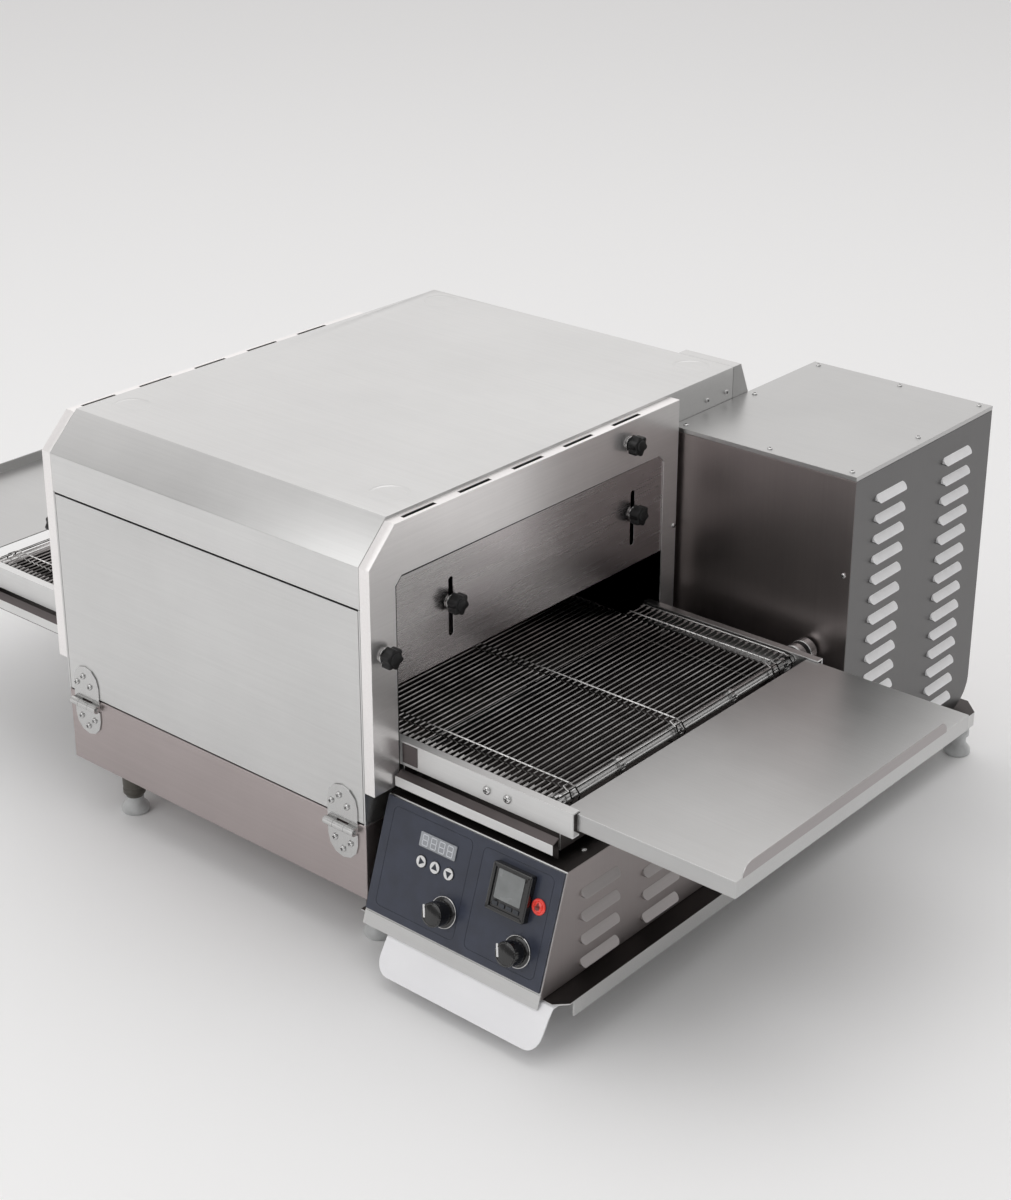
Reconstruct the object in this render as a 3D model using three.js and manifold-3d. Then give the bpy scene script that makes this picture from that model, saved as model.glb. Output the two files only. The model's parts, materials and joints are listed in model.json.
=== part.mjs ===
// Countertop conveyor pizza oven, in millimetres, +Z up, +X towards the exit tray, -Y towards the door.
import * as THREE from 'three';
import { mergeVertices } from 'three/addons/utils/BufferGeometryUtils.js';
import Module from 'manifold-3d';

const wasm = await Module();
wasm.setup();

// ---------------------------------------------------------------- driving dimensions
const GAP = 0.3; // between pieces that touch
const SHEET = 1.2; // folded sheet of the housings
const PLATE = 2; // thicker plates
const PLAY = 0.6; // between a turning or sliding piece and what it passes

// x is measured from the middle of the cabinet, y from the closed door, z from the worktop
const HEIGHT = 473; // top of the lid
const LID_HEIGHT = 85;
const RAIL_SHORT = 7; // rails stop inside the outer side of the control box
const TRAY_REACH = 181; // trays past the rails
const SIDE_WIDTH = 240; // control box and rear box beside the cabinet
const REAR_BOX_DEPTH = 294;
const FAN_SPACE = 111; // behind the chamber, inside the rear panel
const RAIL_BACK = 150; // rear rail from the cabinet's back

const CAB = { halfX: 231, depth: 616, bottom: 62, baseTop: 148.5, lidSeam: HEIGHT - LID_HEIGHT, top: HEIGHT,
  chamfer: 40, deckSide: 51, deckFront: 120, deckBack: 96 };
const DOOR = { halfX: CAB.halfX - PLATE - PLAY, depth: 24, bottom: CAB.baseTop + 1.9, top: CAB.lidSeam - 2,
  linerDepth: 12 };
const RAIL = { halfX: CAB.halfX + SIDE_WIDTH - RAIL_SHORT, y0: 40, y1: CAB.depth - RAIL_BACK, flange: 10,
  bottom: 208, top: 235, sheet: 1.8 };
const MOUTH = { y0: RAIL.y0 - 2, y1: RAIL.y1 + 2, z0: RAIL.bottom - GAP,
  z1: CAB.lidSeam - 72 };
const LINER = { halfX: CAB.halfX - 10, y0: DOOR.depth + 2, y1: CAB.depth - FAN_SPACE,
  top: CAB.lidSeam - 4 };
const DIMPLE = { radius: 22, depth: 0.6, fromEnd: 38, frontY: 85, rearY: CAB.depth - 30 };

const COVER = { depth: 14, y1: RAIL.y1 + 28, bottom: 187, top: CAB.top - 3, cutY0: RAIL.y0 - 4,
  cutY1: RAIL.y1 + 2, cutTop: HEIGHT - 59, cutChamfer: 9 };
const COVER_SLOTS = { count: 5, first: 54, pitch: 82, length: 47, width: 5 };
const BAFFLE = { x: CAB.halfX + COVER.depth - 2 * SHEET - GAP, y0: RAIL.y0 - 10, y1: RAIL.y1 + 14,
  bottom: MOUTH.z1 - 19, top: COVER.cutTop + 21, hem: 7, slotY: [RAIL.y0 + 77, RAIL.y1 - 52],
  slotZ0: COVER.cutTop - 92, slotZ1: COVER.cutTop - 27, slotWidth: 7, notch: 12 };
const BAFFLE_KNOB_Z = COVER.cutTop - 54;
const COVER_KNOBS = [['front', COVER.cutY0 - 18, COVER.cutTop - 76], ['rear', RAIL.y1 - 62, HEIGHT - 28]];
const KNOB_HEAD = { radius: 10.6, lobe: 1.3, depth: 10, capRadius: 7, capDepth: 2, neckRadius: 5.8,
  washerRadius: 8, washer: 1.6, stem: 2.7, baffleNeck: 4.5, coverNeck: 5.7 };

const HINGE = { y: -5, z: 140, fromEnd: 31, halfWidth: 21, knuckle: 4.6, pin: 2.2, topZ: 186, lowZ: 102,
  segment: 7.6 };

const SHAFT = { x: RAIL.halfX - 40, z: (RAIL.bottom + RAIL.top) / 2, rod: 6, sprocket: 9.4, sprocketDepth: 8,
  stub: 3, coupling: 14, bearing: 9.2 };
const BELT = { y0: RAIL.y0 + RAIL.flange + PLAY, y1: RAIL.y1 - RAIL.flange - PLAY,
  inner: SHAFT.sprocket + GAP, outer: SHAFT.sprocket + GAP + 1.6, columns: 4, rows: 22, rim: 12, bar: 6 };
const TRAY = { inner: RAIL.halfX - 14, outer: RAIL.halfX + TRAY_REACH, y0: RAIL.y0 + 6, y1: RAIL.y1 - 8,
  top: RAIL.top - 2, skirt: 18, lip: 12, lipY0: RAIL.y0 + 17, lipY1: RAIL.y1 - 53 };
const PAN = { fasciaX0: CAB.halfX + COVER.depth + 2, fasciaX1: RAIL.halfX - 14, inset: 8.5, lip: 5.7,
  y0: RAIL.y0 - 4, y1: RAIL.y1 - 4, bottom: 182.5, top: RAIL.bottom - 3, noseY: RAIL.y0 - 12.5,
  noseTop: RAIL.bottom - 7, noseBottom: RAIL.bottom - 18 };
const HANGER = { ledge: 7, bottom: 190 };

// air ducts, heater and fan in the chamber
const DUCT = { y0: RAIL.y0 + 12, y1: RAIL.y1 + 4, upperTop: LINER.top - 34, lowerTop: 200, jetRadius: 10,
  jetColumns: 5, jetRows: 3, jetMargin: 43 };
const HEATER = { radius: 4.2, z: LINER.top - 17, passes: 4, fromEnd: 56, frontY: 90,
  rearY: LINER.y1 - 83, bulge: 34 };
const FAN = { z: LINER.top - 94, y0: LINER.y1 - 31, y1: LINER.y1 - 7, radius: 82, blades: 8,
  bladeLength: 52, hub: 16, disc: 2.4, shaft: 6 };
const FAN_MOTOR = { radius: 52, length: 84, capRadius: 30, cap: 16, footHalfX: 70, footHalfZ: 30, bore: 16 };

// machine side
const PANEL_WIDTH = 228; // over the control panel and its right margin
const SIDE = { x0: CAB.halfX + GAP, x1: CAB.halfX + SIDE_WIDTH, floor: 58.3 };
const REAR_BOX = { y0: COVER.y1 + 6, y1: COVER.y1 + REAR_BOX_DEPTH, top: HEIGHT - 38, lid: 5, corner: 36 };
const CONTROL = { topY: 25, topZ: PAN.bottom - 1, frontY: -13.6, lipZ: 65, y1: REAR_BOX.y0 - GAP,
  panelX0: SIDE.x1 - PANEL_WIDTH, panel: 2, margin: 1.5 };
const BASE_PAN = { x1: SIDE.x1 + 23, y0: -10, y1: REAR_BOX.y1, top: SIDE.floor - GAP, flangeBottom: 40,
  flangeY0: 8, rearCorner: 20, frontCorner: 12 };
const FLAP = { x0: SIDE.x0 + 44, x1: SIDE.x1 + 14, topY: -11, bottomY: -38, bottomZ: 16, corner: 16, hook: 31,
  sheet: 1.5 };
const COWL = { x0: CAB.halfX - 78, x1: CAB.halfX, topY: CAB.depth + 16, y1: CAB.depth + 39,
  shoulderZ: HEIGHT - 53, bottom: 170 };
const FOOT = { pad: 16, barrel: 13, neck: 10, stud: 8, height: CAB.bottom, x: CAB.halfX - 61, frontY: 32,
  rearY: CAB.depth - 32, rightX: CAB.halfX - 16, machineX: BASE_PAN.x1 - 17, machineY: BASE_PAN.y1 - 24 };
const GEAR_MOTOR = { halfX: 38, halfZ: 48, y0: REAR_BOX.y0 + 4, boxDepth: 62, canRadius: 36, canLength: 114,
  standHalfX: 34, standY0: REAR_BOX.y0 + 20, stand: 6, standDepth: 60, bore: 16 };

// control panel: x from the panel's left edge, s down its slope
const LAYOUT = {
  display: { x0: 51, x1: 98, s0: 21.5, s1: 36.5, proud: 1.2 },
  buttons: [['start', 58], ['up', 76], ['down', 94]],
  button: { s: 51, radius: 6.5, sink: 0.6, proud: 1.2 },
  knobs: [['speed', 98, 89], ['heat', 193, 92]],
  knob: { flange: 15.5, flangeDepth: 3.5, grip: 12.6, depth: 20, rib: 0.5, pointer: 1.2, shaft: 3 },
  controller: { x: 173, s: 39, half: 24, depth: 60, proud: 8, bodyHalf: 22.3, opening: 22.8 },
  lamp: { x: 206, s: 42, radius: 8, lens: 5.6, rim: 1.6, proud: 3 },
};

// the frame stands in the middle of the whole width and depth, on the worktop
const CENTRE_Y = (REAR_BOX.y1 + FLAP.bottomY) / 2;

// ---------------------------------------------------------------- finishes
const finish = (color, roughness, metalness) => new THREE.MeshStandardMaterial({ color, roughness,
  metalness });
const STAINLESS = [0xbfc0bf, 0.34, 1];
const DARK_STEEL = [0x5a5a5c, 0.5, 0.9];
const BLACK = [0x151517, 0.45, 0];

const oven = new THREE.Group();
oven.name = 'countertop_pizza_oven';
oven.position.set(0, -CENTRE_Y, 0);

// ---------------------------------------------------------------- shape helpers
function toSolid(geometry) {
  const bare = geometry.clone();
  bare.deleteAttribute('normal');
  bare.deleteAttribute('uv');
  const merged = mergeVertices(bare, 1e-4);
  // a fine binary grid, so that faces that lie in one plane meet exactly
  const positions = merged.getAttribute('position').array.map((v) => Math.round(v * 1024) / 1024);
  const triVerts = new Uint32Array(merged.index.array);
  return new wasm.Manifold(new wasm.Mesh({
    numProp: 3, vertProperties: positions, triVerts,
  }));
}

function toGeometry(solid) {
  const { vertProperties, triVerts } = solid.getMesh();
  const shared = new THREE.BufferGeometry();
  shared.setAttribute('position', new THREE.BufferAttribute(new Float32Array(vertProperties), 3));
  shared.setIndex(new THREE.BufferAttribute(new Uint32Array(triVerts), 1));
  const flat = shared.toNonIndexed();
  flat.computeVertexNormals();
  return flat;
}

function block(x0, x1, y0, y1, z0, z1) {
  const box = new THREE.BoxGeometry(x1 - x0, y1 - y0, z1 - z0);
  return toSolid(box.translate((x0 + x1) / 2, (y0 + y1) / 2, (z0 + z1) / 2));
}

const BASIS = {
  // local x, y and extrusion directions of a section that lies across each axis
  x: new THREE.Matrix4().makeBasis(new THREE.Vector3(0, 1, 0), new THREE.Vector3(0, 0, 1),
    new THREE.Vector3(1, 0, 0)),
  y: new THREE.Matrix4().makeBasis(new THREE.Vector3(0, 0, 1), new THREE.Vector3(1, 0, 0),
    new THREE.Vector3(0, 1, 0)),
  z: new THREE.Matrix4(),
};

// A section of [u, v] points pushed from a to b along an axis: (y, z) for x, (z, x) for y, (x, y) for z.
function prism(axis, points, a, b) {
  const shape = new THREE.Shape(points.map(([u, v]) => new THREE.Vector2(u, v)));
  const body = new THREE.ExtrudeGeometry(shape, { depth: b - a, bevelEnabled: false, curveSegments: 8 });
  return toSolid(body.translate(0, 0, a).applyMatrix4(BASIS[axis]));
}

function ring(u, v, radius, count, turn = 0) {
  return Array.from({ length: count }, (_, i) => {
    const angle = turn + (i * 2 * Math.PI) / count;
    return [u + radius * Math.cos(angle), v + radius * Math.sin(angle)];
  });
}

const rod = (axis, u, v, radius, a, b, count = 20) => prism(axis, ring(u, v, radius, count), a, b);

function arc(u, v, radius, from, to, steps) {
  return Array.from({ length: steps + 1 }, (_, i) => {
    const angle = ((from + ((to - from) * i) / steps) * Math.PI) / 180;
    return [u + radius * Math.cos(angle), v + radius * Math.sin(angle)];
  });
}

// A stadium of a given width between two points on the v axis.
const slotPoints = (u, v0, v1, width, steps = 5) => [
  ...arc(u, v1 - width / 2, width / 2, 0, 180, steps), ...arc(u, v0 + width / 2, width / 2, 180, 360, steps)];

const joined = (...solids) => solids.reduce((whole, next) => whole.add(next));
const cut = (body, ...tools) => tools.reduce((rest, tool) => rest.subtract(tool), body);
const mirrorX = (solid) => solid.mirror([1, 0, 0]);

function place(name, solid, [color, roughness, metalness], parent = oven) {
  const mesh = new THREE.Mesh(toGeometry(solid), finish(color, roughness, metalness));
  mesh.name = name;
  parent.add(mesh);
  return mesh;
}

// The same piece at the exit end and, mirrored, at the entry end.
function placePair(name, solid, look) {
  place(`right_${name}`, solid, look);
  place(`left_${name}`, mirrorX(solid), look);
}

// ---------------------------------------------------------------- cabinet
// base tray with a deck that has one big opening under the chamber
place('base_housing', cut(
  block(-CAB.halfX, CAB.halfX, 0, CAB.depth, CAB.bottom, CAB.baseTop),
  block(-CAB.halfX + SHEET, CAB.halfX - SHEET, SHEET, CAB.depth - SHEET, CAB.bottom + SHEET,
    CAB.baseTop - SHEET),
  block(-CAB.halfX + CAB.deckSide, CAB.halfX - CAB.deckSide, CAB.deckFront, CAB.depth - CAB.deckBack,
    CAB.bottom + SHEET, CAB.baseTop + 1),
), STAINLESS);

// baking chamber: open at the front, with a mouth at each end and holes for the fan shaft at the back
const liner = cut(
  block(-LINER.halfX, LINER.halfX, LINER.y0, LINER.y1, CAB.baseTop + GAP, LINER.top),
  block(-LINER.halfX + SHEET, LINER.halfX - SHEET, LINER.y0 - 1, LINER.y1 - SHEET,
    CAB.baseTop + GAP + SHEET, LINER.top - SHEET),
  block(-LINER.halfX - 1, LINER.halfX + 1, MOUTH.y0, MOUTH.y1, MOUTH.z0, MOUTH.z1),
  rod('y', FAN.z, 0, FAN.shaft + 3, LINER.y1 - 5, LINER.y1 + 1),
);
place('chamber_liner', liner, [0x77787a, 0.5, 0.95]);

const endWall = cut(
  block(CAB.halfX - PLATE, CAB.halfX, 0, CAB.depth - PLATE - GAP, CAB.baseTop + GAP, CAB.lidSeam - GAP),
  block(CAB.halfX - 5, CAB.halfX + 1, MOUTH.y0, MOUTH.y1, MOUTH.z0, MOUTH.z1),
);
placePair('end_wall', endWall, STAINLESS);

place('rear_panel', block(-CAB.halfX, CAB.halfX, CAB.depth - PLATE, CAB.depth, CAB.baseTop + GAP,
  CAB.lidSeam - GAP), STAINLESS);

// lid: a pan turned over, with a sloping front edge and four shallow stacking dimples
const lidSection = (inset) => [
  [inset, CAB.lidSeam - (inset ? 1 : 0)],
  [CAB.depth - inset, CAB.lidSeam - (inset ? 1 : 0)],
  [CAB.depth - inset, CAB.top - inset],
  [CAB.chamfer + inset * 0.414, CAB.top - inset],
  [inset, CAB.top - CAB.chamfer - inset * 0.414],
];
const dimples = [-1, 1].flatMap((s) => [DIMPLE.frontY, DIMPLE.rearY].map((y) => rod('z',
  s * (CAB.halfX - DIMPLE.fromEnd), y, DIMPLE.radius, CAB.top - DIMPLE.depth, CAB.top + 1, 14)));
place('lid', cut(
  prism('x', lidSection(0), -CAB.halfX, CAB.halfX),
  prism('x', lidSection(SHEET), -CAB.halfX + SHEET, CAB.halfX - SHEET),
  ...dimples,
), STAINLESS);

const cowlSection = (inset) => [
  [CAB.depth + GAP - (inset ? 2 : 0), COWL.bottom + inset],
  [COWL.y1 - inset, COWL.bottom + inset],
  [COWL.y1 - inset, COWL.shoulderZ - inset * 0.2],
  [COWL.topY - inset * 0.6, CAB.top - inset],
  [CAB.depth + GAP - (inset ? 2 : 0), CAB.top - inset],
];
place('rear_cowl', cut(
  prism('x', cowlSection(0), COWL.x0, COWL.x1),
  prism('x', cowlSection(SHEET), COWL.x0 + SHEET, COWL.x1 - SHEET),
), STAINLESS);

// ---------------------------------------------------------------- hoods and heat baffles at both ends
const faceX = CAB.halfX + COVER.depth;
const coverChamfer = CAB.chamfer - (CAB.top - COVER.top);
const coverSection = (inset) => [
  [inset, COVER.bottom - inset],
  [COVER.y1 - inset, COVER.bottom - inset],
  [COVER.y1 - inset, COVER.top - inset],
  [coverChamfer + inset * 0.414, COVER.top - inset],
  [inset, COVER.top - coverChamfer - inset * 0.414],
];
const coverCut = [
  [COVER.cutY0, COVER.bottom - 5], [COVER.cutY1, COVER.bottom - 5],
  [COVER.cutY1, COVER.cutTop - COVER.cutChamfer], [COVER.cutY1 - COVER.cutChamfer, COVER.cutTop],
  [COVER.cutY0 + COVER.cutChamfer, COVER.cutTop], [COVER.cutY0, COVER.cutTop - COVER.cutChamfer],
];
const ventSlots = Array.from({ length: COVER_SLOTS.count }, (_, i) => {
  const y = COVER_SLOTS.first + i * COVER_SLOTS.pitch;
  return block(faceX - 4 - COVER_SLOTS.width, faceX - 4, y, y + COVER_SLOTS.length, COVER.top - 3,
    COVER.top + 1);
});
const cover = cut(
  prism('x', coverSection(0), CAB.halfX + GAP, faceX),
  prism('x', coverSection(SHEET), CAB.halfX - 1, faceX - SHEET),
  prism('x', coverCut, faceX - 4, faceX + 1),
  ...ventSlots,
  ...COVER_KNOBS.map(([, y, z]) => rod('x', y, z, KNOB_HEAD.stem + 1.9, faceX - 4, faceX + 1, 16)),
);
placePair('end_cover', cover, STAINLESS);

const baffle = cut(
  joined(
    block(BAFFLE.x, BAFFLE.x + SHEET, BAFFLE.y0, BAFFLE.y1, BAFFLE.bottom, BAFFLE.top),
    block(BAFFLE.x - BAFFLE.hem, BAFFLE.x + SHEET, BAFFLE.y0, BAFFLE.y1, BAFFLE.bottom,
      BAFFLE.bottom + SHEET),
  ),
  ...BAFFLE.slotY.map((y) => prism('x', slotPoints(y, BAFFLE.slotZ0, BAFFLE.slotZ1, BAFFLE.slotWidth),
    BAFFLE.x - 1, BAFFLE.x + 3)),
  // notch that lets the raised baffle pass the stem of the rear cover knob
  block(BAFFLE.x - 1, BAFFLE.x + 3, COVER_KNOBS[1][1] - BAFFLE.notch / 2,
    COVER_KNOBS[1][1] + BAFFLE.notch / 2, COVER.cutTop + 1, BAFFLE.top + 1),
);
placePair('baffle', baffle, STAINLESS);

// six-lobed clamp knob on a stem that starts at the end wall; the head begins at a given distance
function clampKnob(y, z, headX, washerX) {
  const lobes = ring(y, z, 1, 18).map(([u, v], i) => {
    const radius = KNOB_HEAD.radius + KNOB_HEAD.lobe * Math.cos((i * 6 * 2 * Math.PI) / 18);
    return [y + (u - y) * radius, z + (v - z) * radius];
  });
  return joined(
    rod('x', y, z, KNOB_HEAD.stem, CAB.halfX + GAP, washerX + 1, 8),
    rod('x', y, z, KNOB_HEAD.washerRadius, washerX, washerX + KNOB_HEAD.washer, 12),
    rod('x', y, z, KNOB_HEAD.neckRadius, washerX + 1, headX + 1, 10),
    prism('x', lobes, headX, headX + KNOB_HEAD.depth),
    rod('x', y, z, KNOB_HEAD.capRadius, headX + KNOB_HEAD.depth - 1,
      headX + KNOB_HEAD.depth + KNOB_HEAD.capDepth, 12),
  );
}
const baffleWasher = BAFFLE.x + SHEET + GAP;
[['front', BAFFLE.slotY[0]], ['rear', BAFFLE.slotY[1]]].forEach(([where, y]) => {
  placePair(`${where}_baffle_knob`, clampKnob(y, BAFFLE_KNOB_Z, baffleWasher + KNOB_HEAD.baffleNeck,
    baffleWasher), BLACK);
});
COVER_KNOBS.forEach(([where, y, z]) => {
  placePair(`${where}_cover_knob`, clampKnob(y, z, faceX + GAP + KNOB_HEAD.coverNeck, faceX + GAP), BLACK);
});

// ---------------------------------------------------------------- front door and its hinges
place('door_skin', cut(
  block(-DOOR.halfX, DOOR.halfX, 0, DOOR.depth, DOOR.bottom, DOOR.top),
  block(-DOOR.halfX + SHEET, DOOR.halfX - SHEET, SHEET, DOOR.depth + 1, DOOR.bottom + SHEET,
    DOOR.top - SHEET),
), STAINLESS);
place('door_liner', cut(
  block(-DOOR.halfX + SHEET + GAP, DOOR.halfX - SHEET - GAP, DOOR.depth - DOOR.linerDepth, DOOR.depth,
    DOOR.bottom + SHEET + GAP, DOOR.top - SHEET - GAP),
  block(-DOOR.halfX + 2 * SHEET + GAP, DOOR.halfX - 2 * SHEET - GAP, DOOR.depth - DOOR.linerDepth - 1,
    DOOR.depth - SHEET, DOOR.bottom + 2 * SHEET + GAP, DOOR.top - 2 * SHEET - GAP),
), [0x8a8b8d, 0.45, 0.95]);

[['left', HINGE.fromEnd - CAB.halfX], ['right', CAB.halfX - HINGE.fromEnd]].forEach(([side, x]) => {
  const bore = rod('x', HINGE.y, HINGE.z, HINGE.pin + GAP, x - HINGE.halfWidth - 5,
    x + HINGE.halfWidth + 5, 8);
  const leafY = [-SHEET - GAP, -GAP];
  const clear = HINGE.knuckle + 0.5;
  const plate = (edge, tip) => {
    // a leaf with a round end, as a section of (z, x)
    const out = tip > edge ? [0, 1] : [180, -1];
    const centre = tip - out[1] * HINGE.halfWidth;
    const sweep = arc(0, 0, HINGE.halfWidth, -90, 90, 6);
    const points = sweep.map(([z, u]) => [centre + out[1] * z, x + out[1] * u]);
    return prism('y', [[edge, x - out[1] * HINGE.halfWidth], ...points, [edge, x + out[1] * HINGE.halfWidth]],
      ...leafY);
  };
  const tab = (x0, x1, z0, z1) => block(x0, x1, ...leafY, z0, z1);
  const knuckle = (x0, x1) => rod('x', HINGE.y, HINGE.z, HINGE.knuckle, x0, x1, 12);
  const { halfWidth: w, segment: c } = HINGE;
  const upper = cut(joined(
    plate(HINGE.z + clear, HINGE.topZ),
    tab(x - w, x - c - GAP, HINGE.z, HINGE.z + clear + 1), tab(x + c + GAP, x + w, HINGE.z,
      HINGE.z + clear + 1),
    knuckle(x - w, x - c - GAP), knuckle(x + c + GAP, x + w),
  ), bore);
  // the pin is peened into the lower leaf
  const lower = joined(
    plate(HINGE.z - clear, HINGE.lowZ), tab(x - c, x + c, HINGE.z - clear - 1, HINGE.z), knuckle(x - c,
      x + c),
    rod('x', HINGE.y, HINGE.z, HINGE.pin, x - w - 2, x + w + 2, 8),
  );
  place(`${side}_hinge_upper_leaf`, upper, STAINLESS);
  place(`${side}_hinge_lower_leaf`, lower, STAINLESS);
});

// ---------------------------------------------------------------- inside the chamber
const ductEnd = LINER.halfX - SHEET - GAP;
const jets = (z0, z1) => Array.from({ length: DUCT.jetColumns * DUCT.jetRows }, (_, i) => {
  const spanX = 2 * (ductEnd - DUCT.jetMargin);
  const spanY = DUCT.y1 - DUCT.y0 - 2 * DUCT.jetMargin;
  const x = -spanX / 2 + (spanX * (i % DUCT.jetColumns)) / (DUCT.jetColumns - 1);
  const y = DUCT.y0 + DUCT.jetMargin + (spanY * Math.floor(i / DUCT.jetColumns)) / (DUCT.jetRows - 1);
  return rod('z', x, y, DUCT.jetRadius, z0, z1, 6);
});
const duct = (z0, z1, jetZ) => cut(
  block(-ductEnd, ductEnd, DUCT.y0, DUCT.y1, z0, z1),
  block(-ductEnd + SHEET, ductEnd - SHEET, DUCT.y0 + SHEET, DUCT.y1 + 2, z0 + SHEET, z1 - SHEET),
  ...jets(jetZ - 3, jetZ + 3),
);
place('upper_air_duct', duct(MOUTH.z1 + 2, DUCT.upperTop, MOUTH.z1 + 2), DARK_STEEL);
place('lower_air_duct', duct(CAB.baseTop + 2 * GAP + SHEET, DUCT.lowerTop, DUCT.lowerTop), DARK_STEEL);

// tubular heater: one hairpin wound to and fro above the upper duct, held in the back wall of the chamber
function heaterPath() {
  const backY = LINER.y1 - SHEET - GAP;
  const reach = LINER.halfX - HEATER.fromEnd;
  const pitch = (2 * reach) / (HEATER.passes - 1);
  const points = [new THREE.Vector3(-reach, backY, HEATER.z)];
  for (let i = 0; i < HEATER.passes; i += 1) {
    const x = -reach + i * pitch;
    const [from, to] = i % 2 ? [HEATER.frontY, HEATER.rearY] : [HEATER.rearY, HEATER.frontY];
    points.push(new THREE.Vector3(x, from, HEATER.z), new THREE.Vector3(x, to, HEATER.z));
    if (i < HEATER.passes - 1) {
      const bulge = i % 2 ? HEATER.bulge : -HEATER.bulge;
      points.push(new THREE.Vector3(x + pitch / 2, to + bulge, HEATER.z));
    }
  }
  points.push(new THREE.Vector3(reach, backY, HEATER.z));
  return new THREE.CatmullRomCurve3(points, false, 'centripetal');
}
const heater = new THREE.ExtrudeGeometry(
  new THREE.Shape(ring(0, 0, HEATER.radius, 6).map(([u, v]) => new THREE.Vector2(u, v))),
  { steps: 44, bevelEnabled: false, extrudePath: heaterPath() },
);
place('heating_element', toSolid(heater), [0x4a4340, 0.6, 0.6]);

// radial fan wheel on the shaft of the motor behind the chamber
const blades = Array.from({ length: FAN.blades }, (_, i) => {
  const blade = new THREE.BoxGeometry(FAN.bladeLength, FAN.y1 - FAN.y0 - 2, PLATE);
  blade.translate(FAN.radius - FAN.bladeLength / 2, 0,
    0).rotateY(0.2).rotateY((i * 2 * Math.PI) / FAN.blades);
  return toSolid(blade.translate(0, (FAN.y0 + FAN.y1) / 2 - 1, FAN.z));
});
place('fan_wheel', joined(
  rod('y', FAN.z, 0, FAN.radius, FAN.y1 - FAN.disc, FAN.y1, 24),
  rod('y', FAN.z, 0, FAN.hub, FAN.y0, FAN.y1 - 1, 14),
  rod('y', FAN.z, 0, FAN.shaft, FAN.y1 - 1, LINER.y1 + FAN_MOTOR.bore - 2, 12),
  ...blades,
), DARK_STEEL);
const motorY = LINER.y1 + GAP;
place('fan_motor', cut(
  joined(
    rod('y', FAN.z, 0, FAN_MOTOR.radius, motorY, motorY + FAN_MOTOR.length, 24),
    rod('y', FAN.z, 0, FAN_MOTOR.capRadius, motorY + FAN_MOTOR.length - 1,
      motorY + FAN_MOTOR.length + FAN_MOTOR.cap, 16),
    block(-FAN_MOTOR.footHalfX, FAN_MOTOR.footHalfX, motorY, motorY + 5, FAN.z - FAN_MOTOR.footHalfZ,
      FAN.z + FAN_MOTOR.footHalfZ),
  ),
  rod('y', FAN.z, 0, FAN.shaft + PLAY, motorY - 1, LINER.y1 + FAN_MOTOR.bore, 12),
), [0x3c3f42, 0.55, 0.4]);

// ---------------------------------------------------------------- conveyor
const holeR = SHAFT.rod + 0.5;
function railChannel(outerY, innerSide) {
  const y = (t) => outerY + innerSide * t;
  const [a, b] = [y(0), y(RAIL.flange)].sort((p, q) => p - q);
  const [c, d] = [y(RAIL.sheet), y(RAIL.flange + 1)].sort((p, q) => p - q);
  return cut(
    block(-RAIL.halfX, RAIL.halfX, a, b, RAIL.bottom, RAIL.top),
    block(-RAIL.halfX - 1, RAIL.halfX + 1, c, d, RAIL.bottom + RAIL.sheet, RAIL.top - RAIL.sheet),
  );
}
const shaftBores = (y0, y1) => [-1, 1].map((s) => rod('y', SHAFT.z, s * SHAFT.x, holeR, y0, y1, 16));
// the front rail carries the cross hangers on which both crumb pans slide
const hangerEdges = [[PAN.fasciaX0 + 0.5, 1], [PAN.fasciaX1 - 0.5, -1]];
const hangers = [-1, 1].flatMap((s) => hangerEdges.map(([x, inward]) => {
  const span = (p, q, z0, z1) => {
    const [x0, x1] = [s * p, s * q].sort((u, v) => u - v);
    return block(x0, x1, RAIL.y0, RAIL.y1, z0, z1);
  };
  const web = span(x, x + inward * SHEET, HANGER.bottom, RAIL.bottom - GAP);
  const foot = span(x, x + inward * HANGER.ledge, HANGER.bottom, HANGER.bottom + SHEET);
  const top = s * (x + (inward * SHEET) / 2);
  const root = block(top - SHEET / 2, top + SHEET / 2, RAIL.y0, RAIL.y0 + RAIL.flange, RAIL.bottom - 1,
    RAIL.bottom + 1);
  return joined(web, foot, root);
}));
// blind bearings inside the front rail hold the shafts' front ends
const webY = RAIL.y0 + RAIL.sheet;
const bearings = [-1, 1].map((s) => rod('y', SHAFT.z, s * SHAFT.x, SHAFT.bearing, webY - 1,
  RAIL.y0 + RAIL.flange, 20));
place('front_rail', cut(joined(railChannel(RAIL.y0, 1), ...hangers, ...bearings),
  ...shaftBores(webY, RAIL.y0 + RAIL.flange + 2)), STAINLESS);
place('rear_rail', cut(railChannel(RAIL.y1, -1), ...shaftBores(RAIL.y1 - RAIL.flange, RAIL.y1 + 2)),
  STAINLESS);

function sprocketShaft(x, y1, extra = []) {
  const wheels = Array.from({ length: 5 }, (_, i) => {
    const y = BELT.y0 + BELT.rim + ((BELT.y1 - BELT.y0 - 2 * BELT.rim) * i) / 4;
    return rod('y', SHAFT.z, x, SHAFT.sprocket, y - SHAFT.sprocketDepth / 2, y + SHAFT.sprocketDepth / 2, 14);
  });
  return joined(rod('y', SHAFT.z, x, SHAFT.rod, webY + GAP, y1, 10), ...wheels, ...extra);
}
place('drive_shaft', sprocketShaft(SHAFT.x, GEAR_MOTOR.y0 + GEAR_MOTOR.bore - 2, [
  rod('y', SHAFT.z, SHAFT.x, SHAFT.coupling, RAIL.y1 + SHAFT.stub, REAR_BOX.y0 - SHAFT.stub, 18),
]), [0x8f9192, 0.4, 1]);
place('idler_shaft', sprocketShaft(-SHAFT.x, RAIL.y1 + SHAFT.stub), [0x8f9192, 0.4, 1]);

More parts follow.
